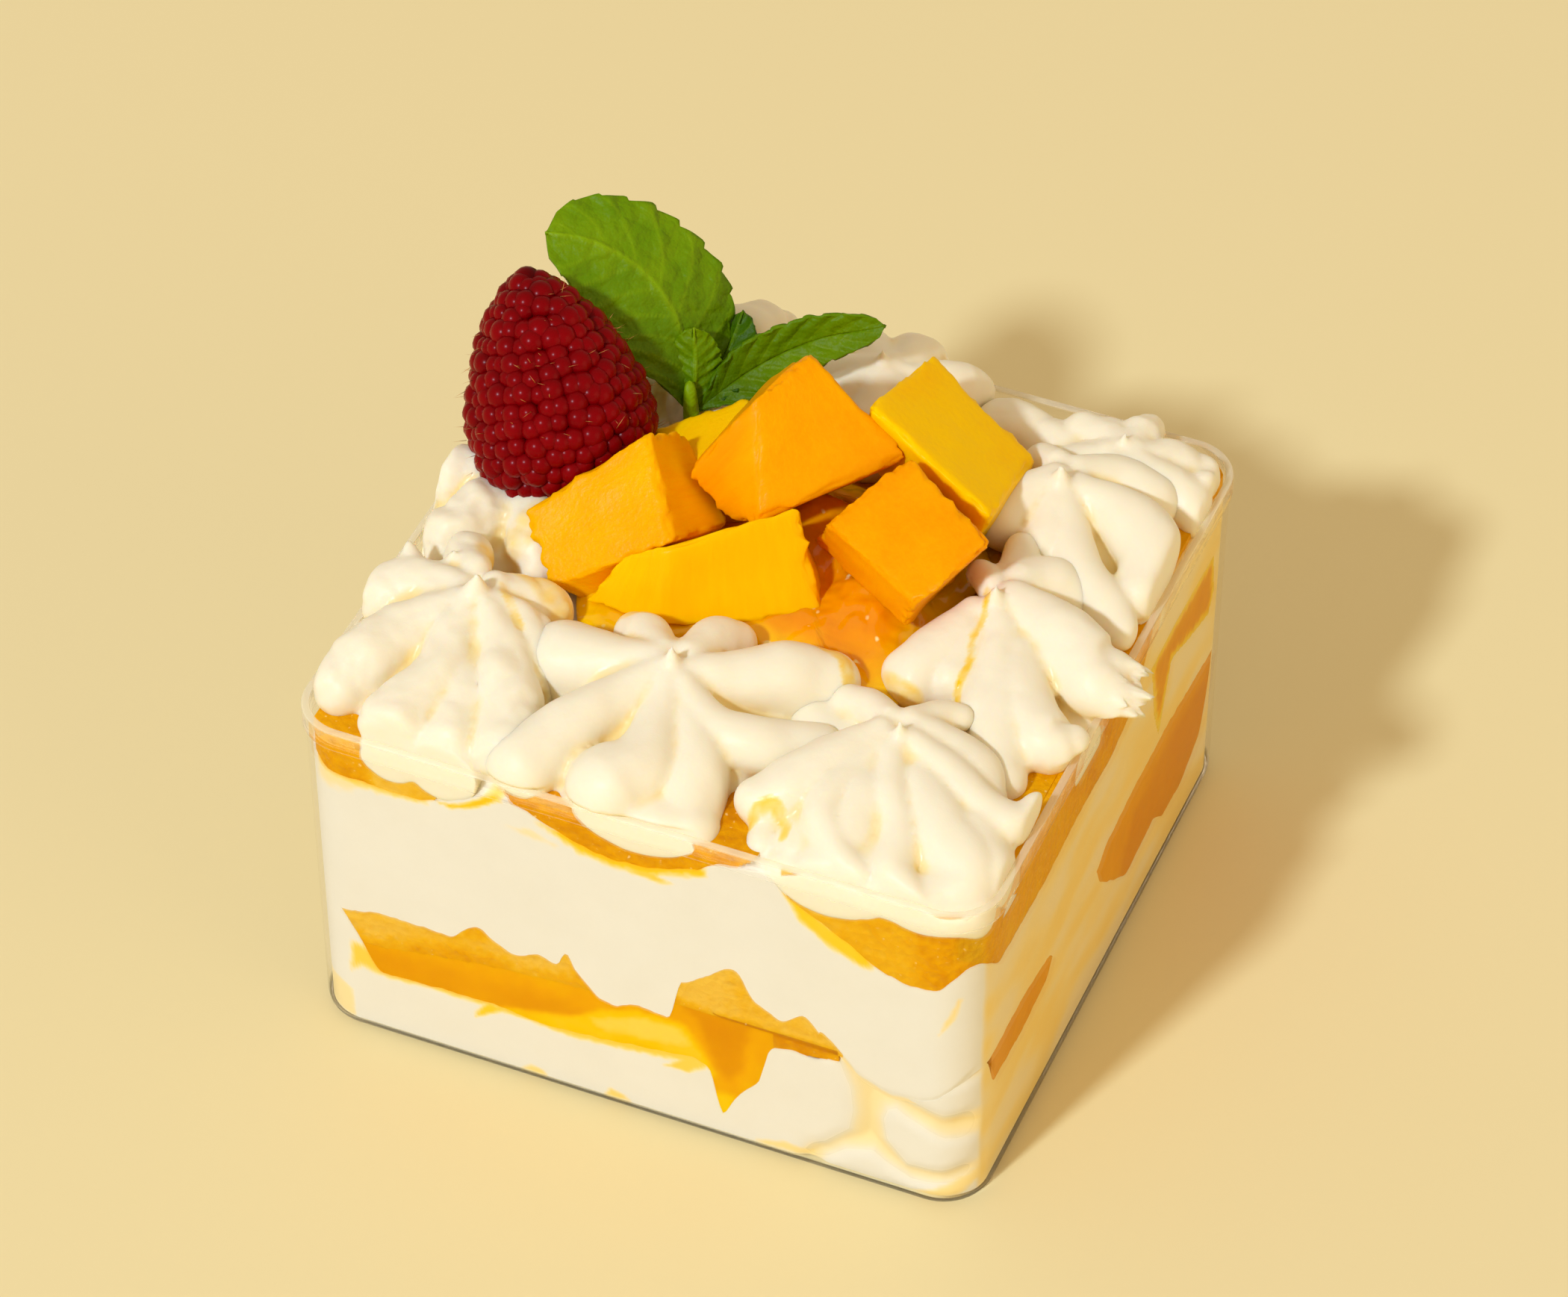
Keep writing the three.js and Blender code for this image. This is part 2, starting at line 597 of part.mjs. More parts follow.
const stripTools = Object.values(STRIPS).map((spec) => strip(spec, GAP));
const room = cavity().intersect(level(() => 0, bedTop));
const bottom = room.intersect(level(() => 0, (x, y) => parting(x, y) - GAP / 2));
const middle = room.intersect(level((x, y) => parting(x, y) + GAP / 2, () => BOX_HEIGHT));
place('cream_bottom', geometryOf(cut(bottom, stripTools)), CREAM, 0.45);
place('cream_middle', geometryOf(cut(middle, stripTools)), CREAM, 0.45);
for (const [name, spec] of Object.entries(STRIPS)) {
  place(name, geometryOf(strip(spec).intersect(room)), spec.colour, 0.5);
}

const dieNames = Object.keys(DICE);
const dieTools = dieNames.map((name) => dieSolid(name, GAP));
const berryTool = berrySolid(GAP);
const sprig = sprigSolid();
dieNames.forEach((name, i) => {
  const above = [...dieTools.slice(0, i), berryTool];
  place(name, geometryOf(cut(dieSolid(name), above)), MANGO, 0.35);
});
place('sauce_pool', geometryOf(cut(poolSolid(), dieTools)), SAUCE, 0.15);
const bedTool = level(() => 0, (x, y) => bedTop(x, y) + GAP);
const starTools = [...dieTools, poolSolid(GAP), berryTool, sprig, rimTool(), bedTool];
for (const name of Object.keys(STARS)) {
  place(name, geometryOf(cut(starSolid(name), starTools)), CREAM, 0.45);
}
place('berry', geometryOf(berrySolid()), BERRY, 0.4);
place('mint_sprig', geometryOf(cut(sprig, [...dieTools, berryTool])), MINT, 0.5);

export default dessert;
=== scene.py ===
# %% [markdown]
# A layered mango dessert stands in a clear square box: cream, sponge and puree in layers, then cream
# stars, mango dice, a red berry and mint on top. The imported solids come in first. They carry the sizes,
# and every piece below is modelled in their place, in metres.

import bmesh
import bpy
import numpy as np
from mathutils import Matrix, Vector, noise


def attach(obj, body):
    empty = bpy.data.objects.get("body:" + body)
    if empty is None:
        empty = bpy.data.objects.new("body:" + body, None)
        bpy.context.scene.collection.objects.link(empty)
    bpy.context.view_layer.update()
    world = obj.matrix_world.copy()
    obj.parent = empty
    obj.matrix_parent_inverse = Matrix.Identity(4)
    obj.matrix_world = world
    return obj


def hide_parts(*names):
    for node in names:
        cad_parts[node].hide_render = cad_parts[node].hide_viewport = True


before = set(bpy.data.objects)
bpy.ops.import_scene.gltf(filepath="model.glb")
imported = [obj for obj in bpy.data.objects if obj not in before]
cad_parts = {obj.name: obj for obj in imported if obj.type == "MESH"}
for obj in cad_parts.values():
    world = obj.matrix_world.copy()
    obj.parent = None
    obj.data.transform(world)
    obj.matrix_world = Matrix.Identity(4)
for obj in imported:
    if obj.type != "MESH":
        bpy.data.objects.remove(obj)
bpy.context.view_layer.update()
MM = 0.001

# %% [markdown]
# The camera stands where the photograph's stood. Its place was found from the corners of the box, and its
# long lens keeps the sides of the box nearly parallel, as they are there.

# %% Camera
CAMERA_PLACE = (0.1867, -0.4415, 0.4861)
CAMERA_TURN = (46.78, 0, 22.83)
LENS = 137.76
bpy.ops.object.select_all(action="DESELECT")
bpy.ops.object.camera_add(location=CAMERA_PLACE, rotation=np.radians(CAMERA_TURN))
camera = bpy.context.object
camera.data.lens = LENS
camera.data.sensor_width = 36
camera.data.clip_start = 0.01
bpy.context.scene.camera = camera
print("camera at", CAMERA_PLACE)

# %% [markdown]
# A small lamp, front left, gives the crisp shadow. A wide, weak and warm one on the right stands for
# light that the room throws back, and an even room light fills the rest. Three lights are easier to
# balance than many: each answers for one thing that shows, the shadow's edge, the shaded wall and the
# shadow's depth.

# %% Lights
ROOM_TONE = (0.62, 0.515, 0.395, 1)


def add_lamp(way, far, size, power, tone, shape):
    """An area lamp that looks at the part from some way off."""
    bpy.ops.object.light_add(type="AREA", location=way * far)
    lamp = bpy.context.object
    lamp.rotation_euler = way.to_track_quat("Z", "Y").to_euler()
    lamp.data.shape = shape
    lamp.data.size = size
    lamp.data.energy = power
    lamp.data.color = tone
    print("lamp at", [round(part, 2) for part in lamp.location])


COOL = (0.72, 0.84, 1.0)
WARM = (1.0, 0.8, 0.45)
add_lamp(Vector((-0.213, -0.713, 0.663)), far=3.0, size=0.27, power=66.5, tone=COOL, shape="DISK")
add_lamp(Vector((0.92, -0.2, 0.33)), far=1.5, size=1.0, power=3.3, tone=WARM, shape="SQUARE")
room = bpy.data.worlds.new("room")
room.use_nodes = True
room.node_tree.nodes["Background"].inputs["Color"].default_value = ROOM_TONE
bpy.context.scene.world = room
bpy.context.scene.view_settings.view_transform = "Standard"
print("room light", ROOM_TONE)

# %% [markdown]
# Every piece starts as a sphere, cube, grid or cone from bpy.ops. Soft food has no straight lines that
# bevels and insets could give, so most shaping moves the points of that start by a rule. These helpers
# add a start, alone in the selection, and read and write its points in millimetres as one array, which is
# quick for many.

# %% Helpers for points
def deselect():
    bpy.ops.object.select_all(action="DESELECT")


def only(piece):
    """Makes a piece the active one, alone in the selection."""
    deselect()
    piece.select_set(True)
    bpy.context.view_layer.objects.active = piece


def start_with(add, name, **sizes):
    """Adds a primitive, alone in the selection, and names it."""
    deselect()
    add(**sizes)
    piece = bpy.context.object
    piece.name = name
    piece.data.name = name
    return piece


def read(piece):
    flat = np.empty(len(piece.data.vertices) * 3, np.float32)
    piece.data.vertices.foreach_get("co", flat)
    return flat.reshape(-1, 3).astype(float) / MM


def write(piece, points):
    piece.data.vertices.foreach_set("co", (np.asarray(points) * MM).astype(np.float32).ravel())
    piece.data.update()


def ball(name, around, down):
    """A sphere of rings, with each point's angle round it and its share of the way down it."""
    add = bpy.ops.mesh.primitive_uv_sphere_add
    piece = start_with(add, name, segments=around, ring_count=down, radius=MM)
    x, y, z = read(piece).T
    return piece, np.arctan2(y, x), np.arccos(np.clip(z, -1, 1)) / np.pi


print("point helpers ready")

# %% Helpers for numbers
def grain(points, size, octaves=3):
    """Smooth noise about zero at each point, with lumps of a size in millimetres."""
    places = np.asarray(points) / size
    return np.array([noise.fractal(Vector(place), 1.0, 2.0, octaves) for place in places])


def smooth(value, low, high):
    """0 below low, 1 above high and an even slope between."""
    share = np.clip((np.asarray(value, float) - low) / (high - low), 0, 1)
    return share * share * (3 - 2 * share)


def mix(a, b, share):
    return a + (b - a) * share


def unit_rows(vectors):
    """The same directions, each one long."""
    return vectors / np.linalg.norm(vectors, axis=1)[:, None]


def at_places(place, stops, rows):
    """Rows of numbers, read at places between the stops that they are given for."""
    return np.column_stack([np.interp(place, stops, part) for part in rows.T])


def upright(flat):
    """Places of (across, height) as points that stand at y = 0."""
    return np.column_stack([flat[:, 0], 0 * flat[:, 0], flat[:, 1]])


print("number helpers ready")

# %% Helpers for whole pieces
def apply(piece, kind, **settings):
    """Adds a modifier and applies it at once."""
    only(piece)
    modifier = piece.modifiers.new(kind.lower(), kind)
    for name, value in settings.items():
        setattr(modifier, name, value)
    bpy.ops.object.modifier_apply(modifier=modifier.name)


def join(pieces):
    """Makes one object of several, the first one keeping its name."""
    deselect()
    for piece in pieces:
        piece.select_set(True)
    bpy.context.view_layer.objects.active = pieces[0]
    bpy.ops.object.join()
    return pieces[0]


def face_outwards():
    """Turns all faces of the active piece outwards."""
    bpy.ops.object.mode_set(mode="EDIT")
    bpy.ops.mesh.select_all(action="SELECT")
    bpy.ops.mesh.normals_make_consistent(inside=False)
    bpy.ops.object.mode_set(mode="OBJECT")


def paint(piece, name, values):
    """Stores a number for every point, for the finish to read."""
    layer = piece.data.attributes.get(name) or piece.data.attributes.new(name, "FLOAT", "POINT")
    every = np.broadcast_to(values, len(piece.data.vertices))
    layer.data.foreach_set("value", every.astype(np.float32))


def dress(piece, finish, slot, *nodes, angle=None):
    """Gives a piece its finish and shading, puts it under the root and hides the solids that it replaces.
    """
    piece.data.materials.clear()
    piece.data.materials.append(finish)
    only(piece)
    if angle is None:
        bpy.ops.object.shade_smooth()
    else:
        bpy.ops.object.shade_smooth_by_angle(angle=np.radians(angle))
    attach(piece, "root")
    if nodes:
        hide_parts(*nodes)
    faces = sum(len(face.vertices) - 2 for face in piece.data.polygons)
    print(piece.name, "for", nodes, faces, "triangles")


print("piece helpers ready")

# %% [markdown]
# A finish is a net of shader nodes. Written as sums on a small class, it reads like the rule that it is:
# an expression on two sockets adds the Math node that works it out. A few more helpers keep each finish
# below down to the lines that make it that food.

# %% Sums on shader sockets
class Wire:
    """A shader socket that takes part in sums: an expression on it adds Math nodes."""

    def __init__(self, tree, socket=None):
        self.tree = tree
        self.socket = socket

    def add(self, kind, settings=None, sockets=None, output=0):
        """Adds any node: its settings first, then the values or links of its sockets."""
        node = self.tree.nodes.new("ShaderNode" + kind)
        for name, value in (settings or {}).items():
            if name == "stops":
                for index, (place, colour) in enumerate(value):
                    ramp = node.color_ramp.elements
                    stop = ramp[index] if index < 2 else ramp.new(place)
                    stop.position = place
                    stop.color = colour
            else:
                setattr(node, name, value)
        for name, value in (sockets or {}).items():
            if isinstance(value, Wire):
                self.tree.links.new(value.socket, node.inputs[name])
            else:
                node.inputs[name].default_value = value
        return Wire(self.tree, node.outputs[output]) if node.outputs else None

    def sum(self, operation, first, second):
        return self.add("Math", {"operation": operation}, {0: first, 1: second})

    def __add__(self, other):
        return self.sum("ADD", self, other)

    def __radd__(self, other):
        return self.sum("ADD", other, self)

    def __sub__(self, other):
        return self.sum("SUBTRACT", self, other)

    def __rsub__(self, other):
        return self.sum("SUBTRACT", other, self)

    def __mul__(self, other):
        return self.sum("MULTIPLY", self, other)

    def __rmul__(self, other):
        return self.sum("MULTIPLY", other, self)

    def __truediv__(self, other):
        return self.sum("DIVIDE", self, other)

    def clamp(self):
        return self.add("Clamp", {}, {"Value": self})

    def ramp(self, *stops):
        return self.add("ValToRGB", {"stops": stops}, {"Fac": self})

    def blend(self, first, second):
        """A colour that goes from first to second as this value goes from 0 to 1."""
        return self.add("Mix", {"data_type": "RGBA"}, {0: self, 6: first, 7: second}, 2)


print("sums ready")

# %% Helpers for finishes
def srgb(red, green, blue):
    """A colour as it is read off a picture, as the linear colour that a shader takes."""
    shares = np.array([red, green, blue]) / 255
    linear = np.where(shares <= 0.04045, shares / 12.92, ((shares + 0.055) / 1.055) ** 2.4)
    return (*(float(part) for part in linear), 1.0)


def new_finish(name):
    """An empty material and the wire that its nodes are added with."""
    material = bpy.data.materials.new(name)
    material.use_nodes = True
    material.node_tree.nodes.clear()
    return material, Wire(material.node_tree)


def surface(wire, sockets):
    """Adds the main shader and links it to the output."""
    shader = wire.add("BsdfPrincipled", {}, sockets)
    wire.add("OutputMaterial", {}, {"Surface": shader})


def spots(wire, place, size, detail=2):
    """A noise pattern with spots of a size in metres."""
    return wire.add("TexNoise", {}, {"Vector": place, "Scale": 1 / size, "Detail": detail})


def painted(wire, name="stain_and_shade"):
    """The number that paint stored for each point."""
    return wire.add("Attribute", {"attribute_name": name}, {}, "Fac")


def bump(wire, height, strength, distance):
    return wire.add("Bump", {}, {"Strength": strength, "Distance": distance, "Height": height})


def cells(wire, place, scale):
    """Small round cells: the distance from the middle of each."""
    sockets = {"Vector": place, "Scale": scale, "Randomness": 1.0}
    return wire.add("TexVoronoi", {"feature": "F1"}, sockets, "Distance")


print("finish helpers ready")

# %% [markdown]
# The floor is one wide plane, just under the part. Two close tones in large soft spots keep it from
# looking like flat colour. It is stage, not part of the object.

# %% Floor
FLOOR_PALE = srgb(238, 220, 166)
FLOOR_DEEP = srgb(232, 214, 160)
floor = start_with(bpy.ops.mesh.primitive_plane_add, "floor", size=6, location=(0, 0, -0.0002))
floor_finish, wire = new_finish("plain_pale_floor")
place = wire.add("TexCoord", {}, {}, "Object")
tone = spots(wire, place, 0.6).blend(FLOOR_PALE, FLOOR_DEEP)
surface(wire, {"Base Color": tone, "Roughness": 0.6, "Specular IOR Level": 0.2})
floor.data.materials.append(floor_finish)
print("floor of", FLOOR_PALE)

# %% [markdown]
# The clear box is thin moulded plastic: straight walls that lean out a little, round corners, a soft foot
# edge and a small ledge under the rim where a lid would clip. A cube gives it, with bevels for the
# corners and foot, two extrusions for the ledge and an inset that goes down inside. A Solidify modifier
# on an open shell would be quicker, but this way the wall and the floor each keep their own thickness.

# %% Box sizes
BOX_HIGH = 45.4
BOX_FLOOR = 1.0
BOX_WALL = 0.9
FOOT_HALF = 39.5
SHOULDER_HALF = 39.75
RIM_HALF = 40.0
LEDGE_AT = 42.7
LEDGE_RISE = 0.2
CORNER = 5.8
FOOT_EDGE = 1.5
RIM_EDGE = 0.22


def outer_half(z):
    """Half the width over the outside at a height."""
    return FOOT_HALF + (SHOULDER_HALF - FOOT_HALF) * np.asarray(z, float) / BOX_HIGH


print("box half widths", FOOT_HALF, SHOULDER_HALF, RIM_HALF)

# %% Picking and raising
def pick_edges(piece, rule):
    """Selects, in edit mode, the edges whose two ends (in millimetres) pass a rule."""
    mesh = bmesh.from_edit_mesh(piece.data)
    for face in mesh.faces:
        face.select_set(False)
    for edge in mesh.edges:
        edge.select_set(bool(rule(edge.verts[0].co / MM, edge.verts[1].co / MM)))
    mesh.select_flush_mode()
    bmesh.update_edit_mesh(piece.data)


def pick_face(piece, z):
    """Selects the one flat face that looks up at a height."""
    mesh = bmesh.from_edit_mesh(piece.data)
    for edge in mesh.edges:
        edge.select_set(False)
    for face in mesh.faces:
        high = abs(face.calc_center_median().z / MM - z) < 0.05
        face.select_set(high and face.normal.z > 0.99 and len(face.verts) > 8)
    bmesh.update_edit_mesh(piece.data)


def rise(by, scale=1.0):
    """Extrudes what is selected up (or down) and makes the new loop wider or narrower."""
    bpy.ops.mesh.extrude_region_move(TRANSFORM_OT_translate={"value": (0, 0, by * MM)})
    bpy.ops.transform.resize(value=(scale, scale, 1))


print("box helpers ready")

# %% Box shape
box = start_with(bpy.ops.mesh.primitive_cube_add, "clear_box", size=MM)
corners = read(box)
low = corners[:, 2] < 0
half = np.where(low, FOOT_HALF, outer_half(LEDGE_AT))
write(box, np.column_stack([corners[:, :2] * 2 * half[:, None], np.where(low, 0, LEDGE_AT)]))
bpy.ops.object.mode_set(mode="EDIT")
bpy.ops.mesh.select_mode(type="EDGE")
pick_edges(box, lambda a, b: abs(a.z - b.z) > 1)
bpy.ops.mesh.bevel(offset=CORNER * MM, segments=12, affect="EDGES")
pick_edges(box, lambda a, b: a.z < 0.01 and b.z < 0.01)
bpy.ops.mesh.bevel(offset=FOOT_EDGE * MM, segments=5, affect="EDGES")
bpy.ops.mesh.select_mode(type="FACE")
pick_face(box, LEDGE_AT)
rise(LEDGE_RISE, RIM_HALF / float(outer_half(LEDGE_AT)))
rise(BOX_HIGH - LEDGE_AT - LEDGE_RISE)
bpy.ops.mesh.inset(thickness=BOX_WALL * MM)
print("outside", len(bmesh.from_edit_mesh(box.data).faces), "faces")

# The inside goes down past the ledge to the floor, and rounds off there in two steps.
INNER_FOOT = FOOT_HALF - BOX_WALL
rise(LEDGE_AT + LEDGE_RISE / 2 - BOX_HIGH)
rise(-LEDGE_RISE, (SHOULDER_HALF - BOX_WALL) / (RIM_HALF - BOX_WALL))
rise(BOX_FLOOR + 1.0 - (LEDGE_AT - LEDGE_RISE / 2), INNER_FOOT / (SHOULDER_HALF - BOX_WALL))
rise(-0.7, (INNER_FOOT - 0.3) / INNER_FOOT)
rise(-0.3, (INNER_FOOT - 1.0) / (INNER_FOOT - 0.3))
bpy.ops.mesh.select_mode(type="EDGE")
pick_edges(box, lambda a, b: min(a.z, b.z) > BOX_HIGH - 0.01 and a.xy.length > 30)
bpy.ops.mesh.bevel(offset=RIM_EDGE * MM, segments=2, affect="EDGES")
bpy.ops.object.mode_set(mode="OBJECT")
print("box", len(box.data.polygons), "faces")

# %% [markdown]
# Thin clear plastic bends and mirrors light a little, and its rim and ledge look pale: thin lines there
# are a painted highlight, a pale matt colour mixed in. Glass alone would leave the food behind it dark,
# because lamp light is not traced through bending walls. So most of the light goes straight on, less at
# the rim and the foot, where the wall is thick, and all of it does for shadows.

# %% Clear plastic
STRAIGHT = 0.88
RIM_BENDS = 0.34
FOOT_BENDS = 0.66
EDGE_HIGHLIGHT = 0.36
clear_plastic, wire = new_finish("clear_plastic")
shadow_ray = wire.add("LightPath", {}, {}, "Is Shadow Ray")
place = wire.add("TexCoord", {}, {}, "Object")
height = wire.add("SeparateXYZ", {}, {"Vector": place}, "Z") / MM
rim_part = (height - (LEDGE_AT - 0.2)).clamp()
foot_part = (1.7 - height).clamp()
# Painted highlight: a pale matt colour on thin lines at the top of the rim and on the ledge.
top_line = (height - (BOX_HIGH - 0.05)) * 4
ledge_line = (height - (LEDGE_AT + 0.15)) * 5
edges = (1 - top_line * top_line).clamp() + (1 - ledge_line * ledge_line).clamp() * 0.5
plastic = wire.add("BsdfPrincipled", {}, {
    "Base Color": (1.0, 0.99, 0.965, 1), "Roughness": 0.02, "IOR": 1.25, "Transmission Weight": 1.0,
})
let_through = wire.add("BsdfTransparent", {}, {"Color": (0.985, 0.98, 0.965, 1)})
painted_edge_highlight = wire.add("BsdfDiffuse", {}, {"Color": srgb(250, 240, 214)})
straight = shadow_ray + STRAIGHT - rim_part * RIM_BENDS - foot_part * FOOT_BENDS
clear = wire.add("MixShader", {}, {0: straight.clamp(), 1: plastic, 2: let_through})
both = wire.add("MixShader", {}, {0: edges * EDGE_HIGHLIGHT * (1 - shadow_ray), 1: clear, 2: painted_edge_highlight})
wire.add("OutputMaterial", {}, {"Surface": both})
dress(box, clear_plastic, "clear_plastic", "box", angle=30)

# %% [markdown]
# Whipped cream is soft white with a warm cast, and where sauce has touched it a painted stain turns it
# yellow and then orange. The same tint is painted as shade too: warm yellow in creases, on faces that look
# down, in hollows and under lips. Light goes a little way into the piped cream, so that has subsurface
# scattering. The cream pressed on the wall looks flat and matt through the plastic, so it has none, and
# its tones are painted darker than the piped cream's, as shade, since the wall faces the lamp. A fine bump
# keeps both from looking like porcelain.

# %% Cream
def new_cream(name, pale, deep, glow):
    """Cream of two close tones, with a piece's painted sauce marks and painted shade over them, and a glow
    of light inside.
    """
    finish, wire = new_finish(name)
    place = wire.add("TexCoord", {}, {}, "Object")
    stain_and_shade = painted(wire)
    mottle = spots(wire, place, 0.006)
    white = mottle.blend(deep, pale)
    # Painted sauce marks and painted shade both turn the cream yellow, then orange.
    stain_and_shade_tone = (stain_and_shade + (mottle - 0.5) * 0.12 * stain_and_shade).ramp(
        (0.0, pale), (0.25, srgb(246, 218, 140)), (0.5, srgb(250, 200, 24)), (0.75, srgb(240, 162, 0)),
        (1.0, srgb(220, 118, 0)),
    )
    has_stain_and_shade = (stain_and_shade * 8).clamp()
    surface(wire, {
        "Base Color": has_stain_and_shade.blend(white, stain_and_shade_tone), "Roughness": 0.42 - has_stain_and_shade * 0.14,
        "Normal": bump(wire, spots(wire, place, 0.0012, 3), 0.12, 0.0004), "Specular IOR Level": 0.2,
        "Subsurface Weight": glow, "Subsurface Radius": (1.0, 0.7, 0.36), "Subsurface Scale": 0.0015,
    })
    return finish


star_cream = new_cream("whipped_cream", srgb(245, 235, 208), srgb(240, 228, 198), 0.5)
# Painted shade: the cream on the walls has darker tones than the piped cream, as the wall faces the lamp
# more squarely.
shaded_wall_cream = new_cream("shaded_pressed_cream", srgb(235, 229, 212), srgb(230, 223, 204), 0.0)
print("cream finishes")

# %% [markdown]
# The food was pressed against the walls while it was soft, so each layer ends on the wall in a flat,
# ragged border. A layer is a sphere of rings pulled out into a rounded square: its top and bottom rings
# lie inside the food, and the rings between them lie on the wall, from one border to the next. The
# borders are short tables of places. A boolean cut would give the same outline, but not the soft lip that
# cream has there.

# %% Round the walls
FILL_CORNER = 4.9
FILL_HALF = 38.7
SIDES = {"right": (0, 1), "back": (1, 1), "left": (0, -1), "front": (1, -1)}
SHIFTS = (-0.5, -0.25, 0, 0.25, 0.5)


def round_square(angle, half, corner):
    """Places and ways out round a rounded square, evenly spaced from the middle of its right side."""
    straight = half - corner
    arc = corner * np.pi / 2
    along = (angle / (2 * np.pi) % 1) * 4
    side = np.floor(along)
    run = (along - side) * (2 * straight + arc)
    bend = np.clip((run - straight) / corner, 0, np.pi / 2)
    x = straight + corner * np.cos(bend) - np.maximum(run - straight - arc, 0)
    y = np.minimum(run, straight) + corner * np.sin(bend)
    turn = side * np.pi / 2
    places = np.column_stack([x * np.cos(turn) - y * np.sin(turn), x * np.sin(turn) + y * np.cos(turn)])
    return places, np.column_stack([np.cos(bend + turn), np.sin(bend + turn)])


def border(places, ways, tables):
    """The height of a border round the walls, from one table of (place, height) for each wall."""
    height = np.zeros(len(places))
    for name, (axis, sign) in SIDES.items():
        weight = np.maximum(ways[:, axis] * sign, 0) ** 2
        table = np.array(tables[name], float)
        for shift in SHIFTS:
            read_at = places[:, 1 - axis] + shift
            height += weight * np.interp(read_at, table[:, 0], table[:, 1]) / len(SHIFTS)
    return height


def all_round(front, right, left):
    """Tables for four walls: the strips run through to the back, so it has the front's borders."""
    return {"front": front, "right": right, "back": front, "left": left}


print("walls", list(SIDES))

# %% Borders of the layers
MIDDLE_LOW = all_round(
    [(-39, 17.8), (-35, 17.6), (-31, 18.8), (-24.5, 18.8), (-21.5, 18.7), (-20.2, 20.5), (-18.2, 21.7),
     (-17.3, 20.4), (-14.1, 18.7), (-11.5, 20.2), (-9.6, 19.2), (-8.6, 20), (-8.2, 23.6), (-7.6, 20),
     (-4.5, 16.2), (-2.6, 15.7), (0, 17), (4.3, 16.4), (4.9, 22.5), (6.4, 23), (10.6, 26.9), (12.1, 27.1),
     (13.4, 23.4), (17.1, 21.2), (19.6, 23.5), (23.1, 19), (25.7, 15.8), (29.3, 14.3), (32.9, 14.6),
     (36.4, 16.4), (39, 19.5)],
    [(-39, 20), (-33, 20.3), (-25, 20.5), (-17, 19.2), (-15, 17), (-2, 18.5), (0, 20), (8, 21), (20, 21.2),
     (33, 20), (39, 20)],
    [(-39, 18), (-22, 18), (-4, 20), (16, 19.3), (39, 18)],
)
BOTTOM_TOP = all_round(
    [(-39, 18.4), (-36, 18.2), (-35, 17.7), (-34.2, 16.2), (-33.2, 14.5), (-32, 11.8), (-31.8, 10.8),
     (-30.8, 9.4), (-22.9, 9.8), (-16, 9.9), (-12, 9.2), (-6.6, 9.5), (1.1, 10.5), (6.9, 11.4),
     (8.6, 10.6), (9.3, 7.4), (9.6, 3.6), (10.3, 3.6), (11, 6), (12.3, 8.1), (14.8, 11.3), (15, 15),
     (15.6, 16.6), (18, 17.4), (21, 17), (22.4, 17.6), (23.3, 18.6), (25.8, 16.6), (29.3, 15.2),
     (32.9, 15.4), (36.4, 17.2), (39, 20.2)],
    [(-39, 20.6), (-35, 20.6), (-33.5, 15.5), (-25, 15), (-17, 16), (-16, 18), (-9, 18.6), (-2.5, 19),
     (-1.5, 16), (0, 14.5), (3, 12), (8, 8.2), (17, 9), (20, 6.5), (26, 6.2), (32, 9), (33.6, 14),
     (34.6, 20.6), (39, 20.6)],
    [(-39, 18.6), (-22, 18.6), (-4, 20.6), (16, 19.9), (39, 18.6)],
)
MIDDLE_TOP = all_round(
    [(-39, 40), (-36, 38.6), (-31, 38.6), (-27.5, 38.3), (-24, 38.6), (-22, 39.3), (-16, 42.5), (-13, 42),
     (-10, 40.6), (-6, 38.9), (-2, 38.2), (2, 38.6), (7.5, 40.6), (10, 42.5), (15, 43.2), (17.7, 40.4),
     (19.4, 39.4), (22.1, 37.8), (25.6, 35.6), (27.3, 34.2), (29, 33.3), (30.8, 32.8), (32.8, 32.7),
     (34.8, 33.1), (36.2, 34), (37.3, 35.2), (39, 38)],
    [(-39, 40), (-36, 36), (-33, 33.5), (-20, 33), (-8, 34), (0, 33.5), (6, 35), (9, 38), (12, 42),
     (20, 43.5), (39, 43)],
    [(-39, 40), (-20, 39.4), (0, 41.2), (20, 40), (39, 40)],
)
print("borders for", list(MIDDLE_LOW))

# %% Outlines and layers
LIP = 0.3
BED_TOP = 43.9
RAGGED = 0.2


def against(x, z, outline):
    """Distance to an outline in millimetres, positive inside it, and the nearest place on it."""
    corners = np.array(outline, float)
    inside = np.zeros(len(x), bool)
    near = np.full(len(x), np.inf)
    best = np.zeros((len(x), 2))
    for (ax, az), (bx, bz) in zip(corners, np.roll(corners, -1, axis=0)):
        length = (bx - ax) ** 2 + (bz - az) ** 2
        share = np.clip(((x - ax) * (bx - ax) + (z - az) * (bz - az)) / length, 0, 1)
        spot = np.column_stack([ax + share * (bx - ax), az + share * (bz - az)])
        far = np.hypot(x - spot[:, 0], z - spot[:, 1])
        best = np.where((far < near)[:, None], spot, best)
        near = np.minimum(near, far)
        inside ^= ((az > z) != (bz > z)) & (x < (bx - ax) * (z - az) / (bz - az + 1e-12) + ax)
    return np.where(inside, near, -near), best


